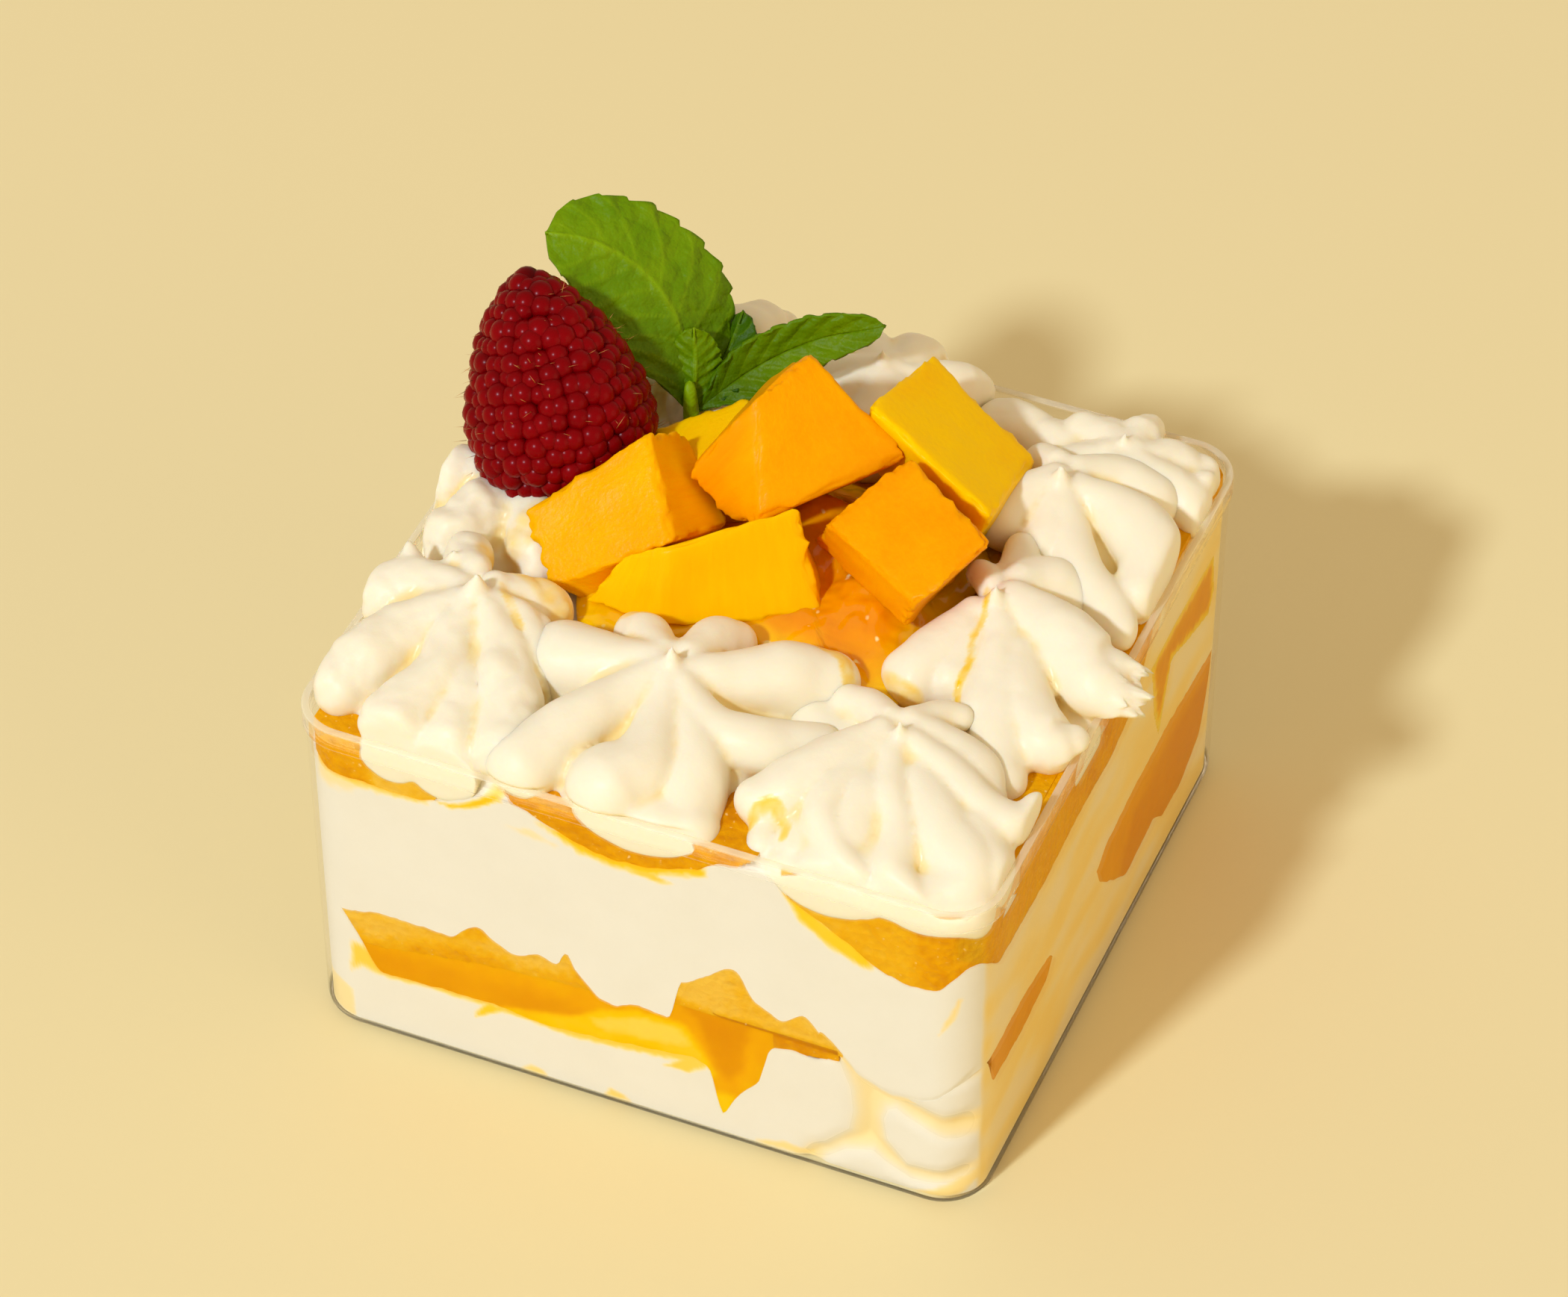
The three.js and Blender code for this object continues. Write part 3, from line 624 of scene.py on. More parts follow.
def layer(name, under, over, reach, inner_low, inner_high, hollow):
    """A layer between two borders round the walls; under may also be one height."""
    piece, angle, fall = ball(name, 840, 76)
    places, ways = round_square(angle, FILL_HALF, FILL_CORNER)
    flat = np.column_stack([places, np.zeros(len(places))])
    top = border(places, ways, over) + grain(flat, 1.6, 4) * RAGGED
    bottom = under
    if isinstance(under, dict):
        bottom = border(places, ways, under) + grain(flat + 40, 1.6, 4) * RAGGED
    z = mix(top, bottom, np.clip((fall - 0.16) / 0.68, 0, 1))
    # Near each border the face curls away from the wall, and the outermost rings close it inside.
    from_middle = np.abs(fall - 0.5)
    curl = np.clip((from_middle - 0.34) / 0.06, 0, 1)
    on_front = smooth(-ways[:, 1], 0.3, 0.8)
    inward = LIP * (1 - np.sqrt(1 - curl ** 2 * 0.999)) + on_front * hollow(places[:, 0], z, z - bottom)
    out = outer_half(z) - BOX_WALL + reach - FILL_HALF - inward
    shrink = np.clip((from_middle - 0.40) / 0.10, 0, 1)
    plan = (places + ways * out[:, None]) * (1 - shrink)[:, None]
    inner = np.where(fall < 0.5, inner_high, inner_low)
    write(piece, np.column_stack([plan, mix(z, inner, smooth(shrink, 0, 0.1))]))
    return piece


print("layer helpers ready")

# %% Cream layers
# Folds of the bottom cream near the front right corner, as outlines on the front wall.
LOBES = [
    [(10, 0), (10, 20), (23.9, 18.6), (25.5, 13.9), (25.8, 10.3), (25.3, 7.1), (22.2, 3.6), (19, 2.5),
     (14, 1.5)],
    [(28, 10.7), (28.6, 12.8), (30.2, 13.8), (31.5, 12.8), (33.3, 12), (35.6, 10.8), (38.3, 10.4),
     (41, 10), (41, 6.5), (35.7, 4.4), (31.2, 4), (28.5, 7.2)],
    [(29.3, 14.6), (32.9, 13.8), (35.5, 13), (38, 13.6), (41, 14.6), (41, 20), (29, 18)],
    [(21.7, 2.4), (24, 4.6), (27.6, 5.9), (29.4, 4.5), (32.1, 3.2), (36, 3.6), (41, 5.4), (41, 0), (21, 0)],
]


def in_lobes(x, z):
    return np.max([against(x, z, outline)[0] for outline in LOBES], axis=0)


def bottom_hollow(x, z, above):
    """The bottom cream stands back from the wall between its folds."""
    return 1.4 * (1 - smooth(in_lobes(x, z), -3.0, 2.2)) * smooth(x, 18, 22)


def middle_hollow(x, z, above):
    """The middle cream hangs down over the bottom one in a round lip."""
    return 0.3 * (1 - smooth(above, 0, 1.6)) * smooth(x, 20, 25)


cream_middle = layer("cream_middle_food", MIDDLE_LOW, MIDDLE_TOP, 0.30, 20.5, BED_TOP, middle_hollow)
cream_bottom = layer("cream_bottom_food", BOX_FLOOR, BOTTOM_TOP, 0.29, BOX_FLOOR - 0.2, 12.0, bottom_hollow)
print("layers shaped")

# %% [markdown]
# Puree has been wiped along the wall in places, too thin to be a body of its own. It is painted on the
# cream as a stain: each smear is an outline on the front wall, and how far a point lies inside it gives
# the stain. Two smears along the middle cream's lower lip are painted shade instead. On the right wall
# the cream is tinted yellow all over, in wide, level bands.

# %% Smears on the layers
# Each smear: its outline on the front wall, how strong it is and how soft its edge is.
MIDDLE_SMEARS = [
    ([(17.2, 41), (19.4, 39.8), (22.1, 38.2), (25.6, 36.4), (27.5, 34.4), (27, 33.4), (25.2, 33.8),
      (22.1, 35.2), (19, 37.8)], 0.5, 0.5),
    ([(-22.5, 39), (-20, 39.6), (-16, 42.6), (-15, 42.2), (-18, 39.9), (-21, 38.6)], 0.55, 0.3),
    ([(-11, 40.4), (-6, 37.9), (-2, 37.2), (2, 37.6), (8.4, 40), (8, 42), (2, 40), (-2, 40),
      (-6, 40)], 0.55, 0.7),
    ([(-3, 37.4), (3, 36.9), (4.6, 37.2), (2, 38.2)], 0.45, 0.3),
    ([(-15, 38.4), (-9, 37.4), (-8.6, 37.9), (-12, 39.2)], 0.16, 0.5),
    ([(-37, 38.6), (-31, 37.8), (-24, 38.2), (-23, 39.6), (-31, 40), (-37, 40)], 0.45, 0.6),
    ([(-37, 36.4), (-33, 36.6), (-31, 38.6), (-37, 38.8)], 0.2, 1.2),
    ([(34.6, 26), (36.4, 29), (37, 32), (36.6, 32), (35.6, 29)], 0.24, 0.3),
    # This one is painted shade: a warm tint along the lower lip of the middle cream.
    ([(23.2, 18.6), (25.7, 15.4), (29.3, 14), (32.9, 14.2), (36.4, 16), (39, 19), (39, 20.4), (36.4, 17.2),
      (32.9, 15.3), (29.3, 15), (25.7, 16.6), (23.6, 19.6)], 0.2, 0.4),
]
BOTTOM_SMEARS = [
    ([(-19.4, 7.0), (-17.6, 8.2), (-15.5, 9.6), (-18, 10), (-19, 8.4)], 0.5, 0.35),
    ([(3, 8.6), (6, 8.8), (8, 10.2), (9, 11), (6, 11.2), (4, 9.4)], 0.45, 0.35),
    ([(-34.4, 8.4), (-33, 9.6), (-30, 9), (-23, 9.4), (-14, 9.2), (-8, 8.6), (1, 9.6), (8, 10.6), (8, 13),
      (-34, 13)], 0.45, 0.5),
    ([(-38.7, 1), (-38.7, 5.6), (-36, 6), (-34.4, 5.4), (-34.2, 1)], 0.2, 0.3),
    ([(-14, 1), (-13, 2), (-11.4, 1.8), (-11, 1)], 0.3, 0.4),
    ([(-4, 1), (-3.4, 2.2), (-1.6, 1.8), (-1, 1)], 0.36, 0.4),
    ([(13.4, 1), (15, 1.9), (17.6, 2.4), (20.8, 2.2), (20.8, 1)], 0.24, 0.5),
    ([(31.3, 0.6), (35.7, 2.6), (38, 4.2), (40, 6.4), (40, 4), (37, 1)], 0.24, 0.4),
    # This one is painted shade: a warm tint on the fold just under the middle cream's lip.
    ([(34, 12.4), (36.6, 13.2), (39.6, 13), (39.6, 11.6), (36.6, 11.4)], 0.24, 0.9),
]


def smear(piece, marks):
    """The tint of the smears on the front wall, some of them painted shade, and a yellow tint in bands on
    the right wall.
    """
    points = read(piece)
    x, y, z = points.T
    # The cream on the right wall is tinted yellow all over, more strongly in wide level bands.
    on_right = smooth(x - outer_half(z) + BOX_WALL, -0.35, 0.1)
    bands = smooth(grain(points * (1, 0.35, 1), 5, 2), -0.5, 0.5)
    stain_and_shade = on_right * (0.17 + 0.16 * bands)
    uneven = grain(points, 0.9, 3) * 0.5
    for outline, depth, soft in marks:
        share = smooth(against(x, z, outline)[0] + uneven * soft, -soft, soft) * (y < -28)
        stain_and_shade = np.maximum(stain_and_shade, depth * share)
    return stain_and_shade


paint(cream_middle, "stain_and_shade", smear(cream_middle, MIDDLE_SMEARS))
across, inwards, height = read(cream_bottom).T
# Painted shade: a warm tint in the hollows between the folds of the bottom cream, and on their sides.
pocket = 0.2 * (1 - smooth(in_lobes(across, height), -1.0, 1.6))
pocket = pocket * smooth(across, 18, 21) * (inwards < -30)
paint(cream_bottom, "stain_and_shade", np.maximum(smear(cream_bottom, BOTTOM_SMEARS), pocket))
dress(cream_middle, shaded_wall_cream, "cream", "cream_middle", angle=50)
dress(cream_bottom, shaded_wall_cream, "cream", "cream_bottom", angle=50)

# %% [markdown]
# Sponge fingers soaked in juice are tan and porous where they are dry and deep amber where they are wet.
# Puree is smooth, with fine strands, yellow where it is thin and orange where it is thick. Both finishes
# read a painted stain for how wet or thick they are, so that one material serves all of the strips.

# %% Sponge finish
sponge_finish, wire = new_finish("moist_sponge")
place = wire.add("TexCoord", {}, {}, "Object")
wetness = painted(wire)
crumb = spots(wire, place, 0.0011, 4)
patches = spots(wire, place, 0.007, 3)
soaked = (wetness + (patches - 0.5) * 0.8 + (crumb - 0.5) * 0.6).clamp()
tone = soaked.ramp(
    (0.0, srgb(234, 184, 62)), (0.35, srgb(232, 172, 20)), (0.7, srgb(226, 156, 0)),
    (1.0, srgb(206, 126, 0)),
)
relief = bump(wire, crumb + cells(wire, place, 900) * 0.6, 0.5, 0.0006)
# Painted highlight: sparse bright spots in the colour, where the sponge is wet, stand for glints.
painted_glint = ((spots(wire, place, 0.0006, 1) - 0.69) * 12).clamp() * wetness * 0.7
surface(wire, {
    "Base Color": painted_glint.blend(tone, srgb(255, 226, 150)), "Roughness": 0.62 - soaked * 0.3,
    "Normal": relief, "Subsurface Weight": 0.15, "Subsurface Radius": (1.0, 0.6, 0.2),
    "Subsurface Scale": 0.001, "Specular IOR Level": 0.06,
})
print("sponge finish")

# %% Puree finish
puree_finish, wire = new_finish("mango_puree")
place = wire.add("TexCoord", {}, {}, "Object")
cloud = spots(wire, place, 0.006, 3)
strand = spots(wire, place, 0.0016, 2)
tone = (painted(wire) + (cloud - 0.5) * 0.3 + (strand - 0.5) * 0.12).clamp().ramp(
    (0.0, srgb(243, 206, 74)), (0.3, srgb(243, 194, 0)), (0.6, srgb(234, 162, 0)),
    (1.0, srgb(216, 136, 0)),
)
surface(wire, {
    "Base Color": tone, "Roughness": 0.25, "Normal": bump(wire, strand, 0.2, 0.0005),
    "Subsurface Weight": 0.2, "Subsurface Radius": (1.0, 0.45, 0.05), "Subsurface Scale": 0.0015,
    "Specular IOR Level": 0.04,
})
print("puree finish")

# %% [markdown]
# The sponge fingers and the puree lie between the cream layers and end on the walls. What shows is a flat
# face with a ragged outline, pressed on the plastic. A fine grid is cut along that outline, its rim is
# drawn onto the outline, and the sheet is extruded into the food and bent to follow the wall. A filled
# curve would have the outline too, but no points inside it to carry the painted tones or to bend round a
# corner.

# %% Sheets cut along an outline
STEP = 0.45
CUT_BEYOND = 0.7


def flat_sheet(name, outline):
    """A fine grid cut along an outline of (across, height), standing at y = 0."""
    corners = np.array(outline, float)
    low, high = corners.min(axis=0), corners.max(axis=0)
    columns, rows = (int(count) for count in np.ceil((high - low) / STEP))
    add = bpy.ops.mesh.primitive_grid_add
    piece = start_with(add, name, x_subdivisions=columns, y_subdivisions=rows, size=2 * MM)
    flat = low + (read(piece)[:, :2] + 1) / 2 * (high - low)
    write(piece, upright(flat))
    bpy.ops.object.mode_set(mode="EDIT")
    bpy.ops.mesh.select_mode(type="VERT")
    bpy.ops.mesh.select_all(action="DESELECT")
    bpy.ops.object.mode_set(mode="OBJECT")
    outside = against(*flat.T, outline)[0] < -CUT_BEYOND * STEP
    piece.data.vertices.foreach_set("select", outside)
    bpy.ops.object.mode_set(mode="EDIT")
    bpy.ops.mesh.delete(type="VERT")
    bpy.ops.object.mode_set(mode="OBJECT")
    flat = read(piece)[:, ::2]
    depth, nearest = against(*flat.T, outline)
    write(piece, upright(np.where((depth < 0)[:, None], nearest, flat)))
    return piece


print("sheets have steps of", STEP, "mm")

# %% Strips through the food
def wall_at(across, z, reach):
    """How far out the wall is, at a place across it and a height, following the round corners."""
    straight = FILL_HALF - FILL_CORNER
    bend = outer_half(z) - BOX_WALL + reach - straight
    past = np.clip(np.abs(across) - straight, 0, bend - 0.4)
    return straight + np.sqrt(bend ** 2 - past ** 2)


def strip_tone(across, z, outline, tone, marks, fade):
    """The painted tone of a strip: one tone, marks of other tones and a fade to a paler edge."""
    uneven = grain(np.column_stack([across, z, 0 * z]), 0.9, 3)
    shade = np.full(len(z), float(tone))
    for mark, mark_tone, soft in marks:
        inside = against(across, z, mark)[0] + uneven * soft * 0.6
        shade = mix(shade, mark_tone, smooth(inside, -soft, soft))
    if fade:
        shade = shade * smooth(against(across, z, outline)[0] + uneven * fade * 0.4, 0, fade)
    return shade


def strip(name, outline, way, inner, reach, tone, marks=(), fade=None):
    """A sheet pressed on the front wall (way "y") or the right one, and extruded into the food."""
    piece = flat_sheet(name, outline)
    bpy.ops.object.mode_set(mode="EDIT")
    bpy.ops.mesh.select_all(action="SELECT")
    bpy.ops.mesh.extrude_region_move(TRANSFORM_OT_translate={"value": (0, MM, 0)})
    bpy.ops.object.mode_set(mode="OBJECT")
    points = read(piece)
    across, z = points[:, 0].copy(), points[:, 2]
    far = points[:, 1] > 0.5
    limit = wall_at(across, z, reach)
    shade = strip_tone(across, z, outline, tone, marks, fade)
    if way == "y":
        points[:, 1] = np.where(far, np.minimum(inner, limit), -limit)
    else:
        points[:, 0] = np.where(far, inner, limit)
        points[:, 1] = across
    write(piece, points)
    face_outwards()
    paint(piece, "stain_and_shade", shade)
    return piece


def strips(table, finish, slot):
    """One piece for each node, from one or more sheets."""
    for name, sheets in table.items():
        piece = join([strip(f"{name}_{index}", *sheet) for index, sheet in enumerate(sheets)])
        piece.name = f"{name}_food"
        dress(piece, finish, slot, name, angle=35)


print("strip helpers ready")

# %% Sponge fingers
# Each sheet: outline, way, inner end, reach, tone, then marks of other tones and a fade to a paler edge.
strips({
    "sponge_lower_left": [
        ([(-37, 23), (-37, 12.6), (-34, 12.6), (-24, 13.6), (-12, 14.8), (-5, 14.2), (-3, 15), (-4, 18),
          (-7, 24), (-17, 23.6)], "y", 38, 0.245, 0.62, [
             ([(-37, 24), (-37, 14.4), (-32, 14.8), (-24, 16.2), (-17, 17.6), (-13, 17), (-8, 18.6),
               (-7, 24)], 0.12, 1.5),
             ([(-20.6, 24), (-20, 19.4), (-17.4, 19.8), (-17, 24)], 0.55, 0.8)]),
    ],
    "sponge_lower_right": [
        ([(4.3, 18.8), (9.2, 18.9), (16, 18.9), (24, 18.6), (24, 25), (12, 28.4), (4.3, 25)],
         "y", 38, 0.25, 0.1, [
             ([(4, 25), (4, 20.6), (8, 19.6), (12, 19.4), (24, 19.5), (24, 18), (4, 18)], 0.6, 0.7)]),
        ([(9, 19.4), (12, 16.8), (16, 16.4), (23.6, 17.8), (23.4, 19.3), (9, 19.2)], "y", 38, 0.252, 0.8, [
             # A dark line along the crack under the sponge: painted shadow.
             ([(9, 19.5), (23.6, 19.6), (23.6, 18.8), (9, 18.8)], 1.4, 0.3)]),
    ],
    "sponge_upper_left": [
        ([(-37.6, 37.5), (-23, 37.5), (-22, 44.4), (-37.6, 44.4)], "y", 38, 0.24, 0.75, [
            ([(-30.2, 37), (-22, 37), (-22, 45), (-30.6, 45)], 0.2, 0.7)]),
    ],
    "sponge_upper_middle": [
        ([(-15, 44.4), (-12, 39), (-2, 37), (8, 39), (14, 44.4)], "y", 38, 0.24, 0.85),
    ],
    "sponge_upper_right": [
        ([(16.6, 42), (19, 38.6), (24, 35.6), (28, 32), (34, 31.6), (38.3, 34.6), (38.3, 44.4), (17, 44.4)],
         "y", 38, 0.24, 0.4, [([(31, 45), (32, 36), (35, 32), (39, 32), (39, 45)], 0.8, 1.6)]),
        ([(-38.3, 38), (-35, 34.6), (-33, 32.6), (-20, 32.4), (-8, 33.4), (0, 33), (6, 34.5), (9, 37.5),
          (12, 41.5), (13, 44.3), (-38.3, 44.3)], "x", 30, 0.25, 0.62),
    ],
}, sponge_finish, "sponge")

# %% Puree
strips({
    "puree_lower": [
        ([(-35, 13), (-34.6, 8.6), (-32, 8.4), (-18, 8.2), (2, 9), (8, 9.8), (8.9, 7.4), (9.2, 3.2),
          (10.6, 3.2), (12.8, 7.4), (16, 11), (16, 18.9), (4.4, 18.9), (4.2, 18), (0, 18), (-3.4, 16.8),
          (-7, 16.8), (-12, 16.4), (-18, 15.8), (-24, 14.8), (-30, 13.6)], "y", 38, 0.265, 0.6, [
             ([(-36, 13.4), (-20, 13.6), (-8, 14), (-5, 12), (-16, 9.6), (-36, 8)], 0.78, 1.4),
             ([(-19.6, 7), (-15.7, 10.1), (-7.8, 11.9), (-4.5, 14.2), (0, 15.9), (5.7, 16.2), (7.6, 12.8),
               (9.3, 9.6), (6.9, 8), (1, 8), (-12, 7.6)], 0.3, 0.5),
             ([(-5.3, 12.5), (-0.1, 14.8), (5.1, 15.2), (6.3, 12.9), (1.2, 12), (-4.6, 11.4)], 0.0, 0.5),
             ([(4.2, 20), (7.2, 17.4), (8.6, 13), (9.6, 10.8), (10.8, 9.6), (12.6, 12), (12.6, 15),
               (13.4, 19)], 0.9, 0.7),
             ([(8.8, 7), (9, 3), (10.8, 3), (11.6, 7)], 0.3, 0.8)]),
    ],
    "puree_lower_side": [
        ([(-3, 15), (3, 10), (8, 7), (17, 8), (20, 5.4), (26, 5), (33, 8), (35, 20.5), (20, 22), (8, 22),
          (-3, 20.5)], "x", 24.5, 0.265, 0.95, [
             ([(-4, 22), (-4, 12), (6, 9), (9, 16), (20, 18), (34, 17), (35, 23)], 0.75, 1.6)]),
    ],
    "puree_lower_corner": [
        ([(-34, 14.6), (-26, 14), (-16, 15.4), (-16, 20.5), (-25, 21.5), (-34, 21)], "x", 28, 0.265, 0.85),
    ],
    "puree_upper_side": [
        ([(13.5, 32), (14.5, 27), (16.5, 22.5), (18, 27), (19.5, 31.5), (25, 29.5), (32, 27.5), (33.5, 30),
          (32.5, 36), (20, 36.4), (12.5, 36)], "x", 26, 0.32, 0.8, [], 1.6),
    ],
}, puree_finish, "puree")

# %% [markdown]
# The cream stars were piped with a star nozzle: thick rounded ropes that leave one tip, with creases
# between them. They could be sculpted from a ball, but a rope at a time is easier to set against what
# shows. Each rope is a path of places with a radius. Those that show are written out, and the hidden
# stars at the back get ropes like the spokes of a wheel.

# %% Star ropes
# Each star: its tip, the width of its core, how rough it is, and its ropes as (x, y, z, radius) along each.
STARS = {
    "cream_star_front_left": ((-25.8, -20.9, 55.7), 8.5, 0.5, [
        [(-26.5, -21.7, 51, 1.8), (-26.5, -25.8, 49.2, 2.4), (-26.3, -30.9, 47.6, 3),
         (-28.3, -36.6, 46.2, 3.6)],
        [(-23.9, -22.1, 51, 1.8), (-20.9, -25.6, 49, 2.6), (-17.8, -30.2, 47.6, 3.2),
         (-16.1, -35.5, 46.4, 3.2)],
        [(-25.5, -22.6, 48, 2.2), (-22.4, -33.1, 46, 3.4), (-22.1, -38.3, 43.4, 3.8)],
        [(-25.6, -33.9, 45.6, 3.2), (-28, -38.9, 43.4, 3.2)],
        [(-23.8, -20.4, 50.8, 1.8), (-20.3, -21.1, 48.6, 2.6), (-16.7, -24.1, 46.8, 2.8)],
        [(-25, -17.8, 50.6, 1.8), (-22.6, -16.1, 48.4, 2.6), (-19.7, -15.2, 47, 2.2)],
        [(-28, -21.4, 50.2, 2), (-31.8, -24.7, 48.4, 3), (-34.7, -30, 47, 3.4), (-36.4, -33.3, 46, 3)],
        [(-29.2, -18.8, 50, 2), (-33.9, -18.9, 48.4, 3.2), (-36.8, -19.9, 47.4, 3.4)],
        [(-28.5, -15.8, 50.6, 1.6), (-31.2, -11.9, 48.4, 2.4)],
        [(-35.5, -17, 49.5, 1.6), (-36.4, -15.6, 51.6, 0.4)],
        [(-31.5, -16, 49.5, 1.2), (-31.2, -15.4, 52, 0.3)],
    ]),
    "cream_star_front": ((-2.6, -22.3, 54.6), 8.5, 0, [
        [(-3.7, -22.2, 50.5, 1.6), (-7.3, -26.8, 48.6, 2.6), (-10.7, -32.3, 47.4, 3.3),
         (-13.1, -37.2, 46.2, 3.4)],
        [(-2.6, -23.4, 50.5, 1.5), (-1.8, -27.4, 48.6, 2.2), (-1.4, -33, 47.2, 3.4),
         (-3.4, -36.4, 46.2, 4.3)],
        [(-0.6, -24.6, 49, 1.8), (3.4, -30.1, 46.4, 3.2), (4.5, -34.9, 43.8, 3.6)],
        [(-0.8, -23.3, 50.2, 1.6), (4, -26.2, 48, 2.4), (9.4, -25.5, 47, 2.8), (14.5, -22.3, 46.6, 2)],
        [(-0.7, -21.2, 50, 1.8), (3.9, -18.4, 48.4, 3), (8.3, -15.1, 47.2, 3.8), (11.5, -13.6, 46.6, 3.2)],
        [(-2.3, -19, 50.4, 1.6), (-1.2, -14.1, 48.2, 2.4), (0.4, -11.8, 47, 2)],
        [(-4.6, -19.7, 50.4, 1.6), (-8.3, -15.9, 48, 2.4), (-10.4, -14.7, 47, 2)],
        [(-4.6, -21.1, 50.2, 1.8), (-9.6, -21.6, 48.4, 3.2), (-14.7, -21.9, 47.2, 4.2)],
        [(-5.5, -37, 43.8, 2.8), (0.5, -37.9, 43.3, 3.3), (6, -37, 43.8, 2.8)],
    ]),
    "cream_star_front_right": ((23.3, -22.2, 53.4), 8, 0, [
        [(21.9, -22.2, 49.6, 1.4), (19.8, -27, 48, 2), (18.9, -32.3, 47, 2.2), (22.2, -36.5, 46, 1.9),
         (24.7, -37.9, 45.2, 1.6)],
        [(20.9, -25.1, 48, 2), (22.2, -30.8, 46.2, 3), (21.2, -37.3, 43.6, 3.2)],
        [(23, -23.7, 49.6, 1.4), (24.5, -28.1, 48, 1.9), (27.4, -32.3, 46.8, 2), (28.6, -36.6, 45.8, 1.9),
         (31.5, -38.4, 44.6, 1.9)],
        [(23.9, -21.6, 49.8, 1.5), (29.1, -23.2, 48.4, 2.1), (34.2, -25.8, 47.2, 2.3),
         (37.9, -25.8, 46.6, 2.1), (39.2, -23.2, 47, 1.5)],
        [(26.6, -24.9, 48, 2), (31.2, -29.8, 46, 3.6), (35.2, -33.3, 44, 3.8), (32.9, -36.6, 43.4, 3)],
        [(33.7, -28.3, 45.6, 3.2), (37.6, -31.6, 44, 3.2)],
        [(23.4, -19, 49.6, 1.6), (26.7, -19.3, 48.4, 2.2), (30.7, -20.6, 47, 2.8), (33, -23.1, 46, 2.4)],
        [(23.4, -18.4, 49.6, 1.5), (25.2, -15.5, 48.4, 1.7), (26.9, -14.4, 47.8, 1.5)],
        [(20.8, -19.1, 49.6, 1.5), (17.9, -17, 48.2, 2), (15.4, -16.1, 47.2, 2)],
        [(20.8, -21.5, 49.4, 1.8), (17.1, -26.2, 47.6, 3), (14.1, -30.3, 46.4, 3.2),
         (11.5, -32.2, 45.8, 2.4)],
        [(13.6, -35.4, 43.4, 2), (13.8, -36, 43.3, 2)],
        [(17, -37.4, 42.6, 2.4), (21.5, -38.2, 42.2, 2.8), (26, -38, 42.6, 2.4)],
        [(28, -37.8, 43.4, 2.4), (33, -37.6, 42.8, 2.6), (37.2, -35.6, 42.6, 2.6)],
        [(12.5, -18.5, 44.8, 2.6), (16, -19.5, 44.8, 2.8)],
        [(24.5, -31, 44.6, 2.8), (25.8, -35.4, 43.8, 2.8)],
        [(16.8, -32, 44.2, 2.6), (17.4, -35.6, 43.6, 2.6)],
    ]),
    "cream_star_right": ((25.2, 0.3, 54.0), 7.5, 0.15, [
        [(24.8, 0.1, 50, 1.5), (26.9, -2.3, 48.6, 2.2), (28.2, -6.5, 47.2, 2.8), (28.4, -11.4, 46, 2.8)],
        [(26.7, 2.4, 50, 2.2), (32.3, 0.6, 48.6, 3.4), (37, -2, 47.8, 3.6), (39.4, -1.8, 47.8, 2.5)],
        [(34, -1.6, 47.8, 3.2), (38.6, -4, 47.4, 3.1), (41.4, -5, 47.2, 2.1)],
        [(29.2, -3.8, 47.6, 2.6), (33.1, -10.1, 46.6, 3), (36.6, -13, 46.2, 3), (38.8, -12, 46.6, 1.7)],
        [(29.5, -8.1, 46.6, 3), (31, -13.3, 45.6, 3.2), (33.2, -18.4, 44.8, 2.6)],
        [(23.1, -0.1, 49, 1.8), (21.3, -4.5, 47.2, 3), (19.6, -8.7, 46, 3.2)],
        [(23.7, -3.2, 47.6, 2.4), (23.7, -8, 46.2, 2.8)],
        [(23.8, 11.9, 48.6, 1.8), (25.1, 7.2, 49, 2)],
        [(21, 6.6, 48.6, 1.5), (23.4, 4.1, 49.8, 1.6)],
        [(25.8, 6.1, 49.6, 2), (28.2, 8.7, 47.6, 2.8), (30.6, 8.9, 46.4, 2.6)],
    ]),
    "cream_star_back_right": ((25, 20.3, 55), 7, 0, [
        [(23.9, 21.7, 50.6, 1.9), (21.6, 18.8, 49.4, 2.8), (20.4, 16.2, 48.2, 3.2)],
        [(24.9, 19.9, 50, 2), (25.5, 15.1, 48, 2.8), (25.6, 13.2, 46.6, 2.6)],
        [(25.1, 20.9, 50.4, 1.6), (27.1, 16.8, 49, 2.2), (30.2, 12.4, 47.6, 2.4), (35.1, 8.6, 46.4, 2.4),
         (37.6, 6.5, 46, 1.8)],
        [(26.7, 21.6, 50.4, 1.8), (32, 20.7, 49, 3), (36.6, 18, 47.6, 3.5), (37.4, 12.7, 46.6, 2.8)],
        [(25.5, 24.6, 50, 1.8), (29.1, 27.1, 48, 2.8), (33.2, 26.7, 46.6, 3)],
        [(22.9, 25, 50, 1.6), (20.6, 27, 48, 2), (19.6, 28.4, 46.6, 1.4)],
    ]),
    "cream_star_corner": ((28.4, 31, 52), 6.5, 0.5, [
        [(28, 31.4, 48.6, 1.7), (26, 33.6, 47.4, 2.4), (23, 34.2, 46.4, 2.7)],
        [(28.4, 32, 48.6, 1.7), (28.8, 35, 47.6, 2.3), (29.2, 37, 47.4, 1.8)],
        [(29.6, 31.4, 48.2, 1.8), (33, 33, 46.6, 2.6), (36.5, 33.8, 45.6, 2.4)],
        [(29.8, 30, 48.2, 1.8), (34, 29.6, 46.4, 2.8), (37.8, 28.6, 45.4, 2.6)],
        [(36.6, 32, 45.8, 2), (37.8, 31.8, 46.8, 1.6)],
        [(28.6, 29, 48.2, 1.8), (30, 26, 46.8, 2.6), (31, 23.6, 45.6, 2.4)],
        [(27, 30, 48.4, 1.8), (24, 28.6, 47, 2.6), (21.4, 28.4, 45.8, 2.4)],
        [(22, 31, 45.2, 3), (18, 32.8, 45.2, 3), (13, 33.8, 45, 3)],
    ]),
}
print("stars written out:", len(STARS))

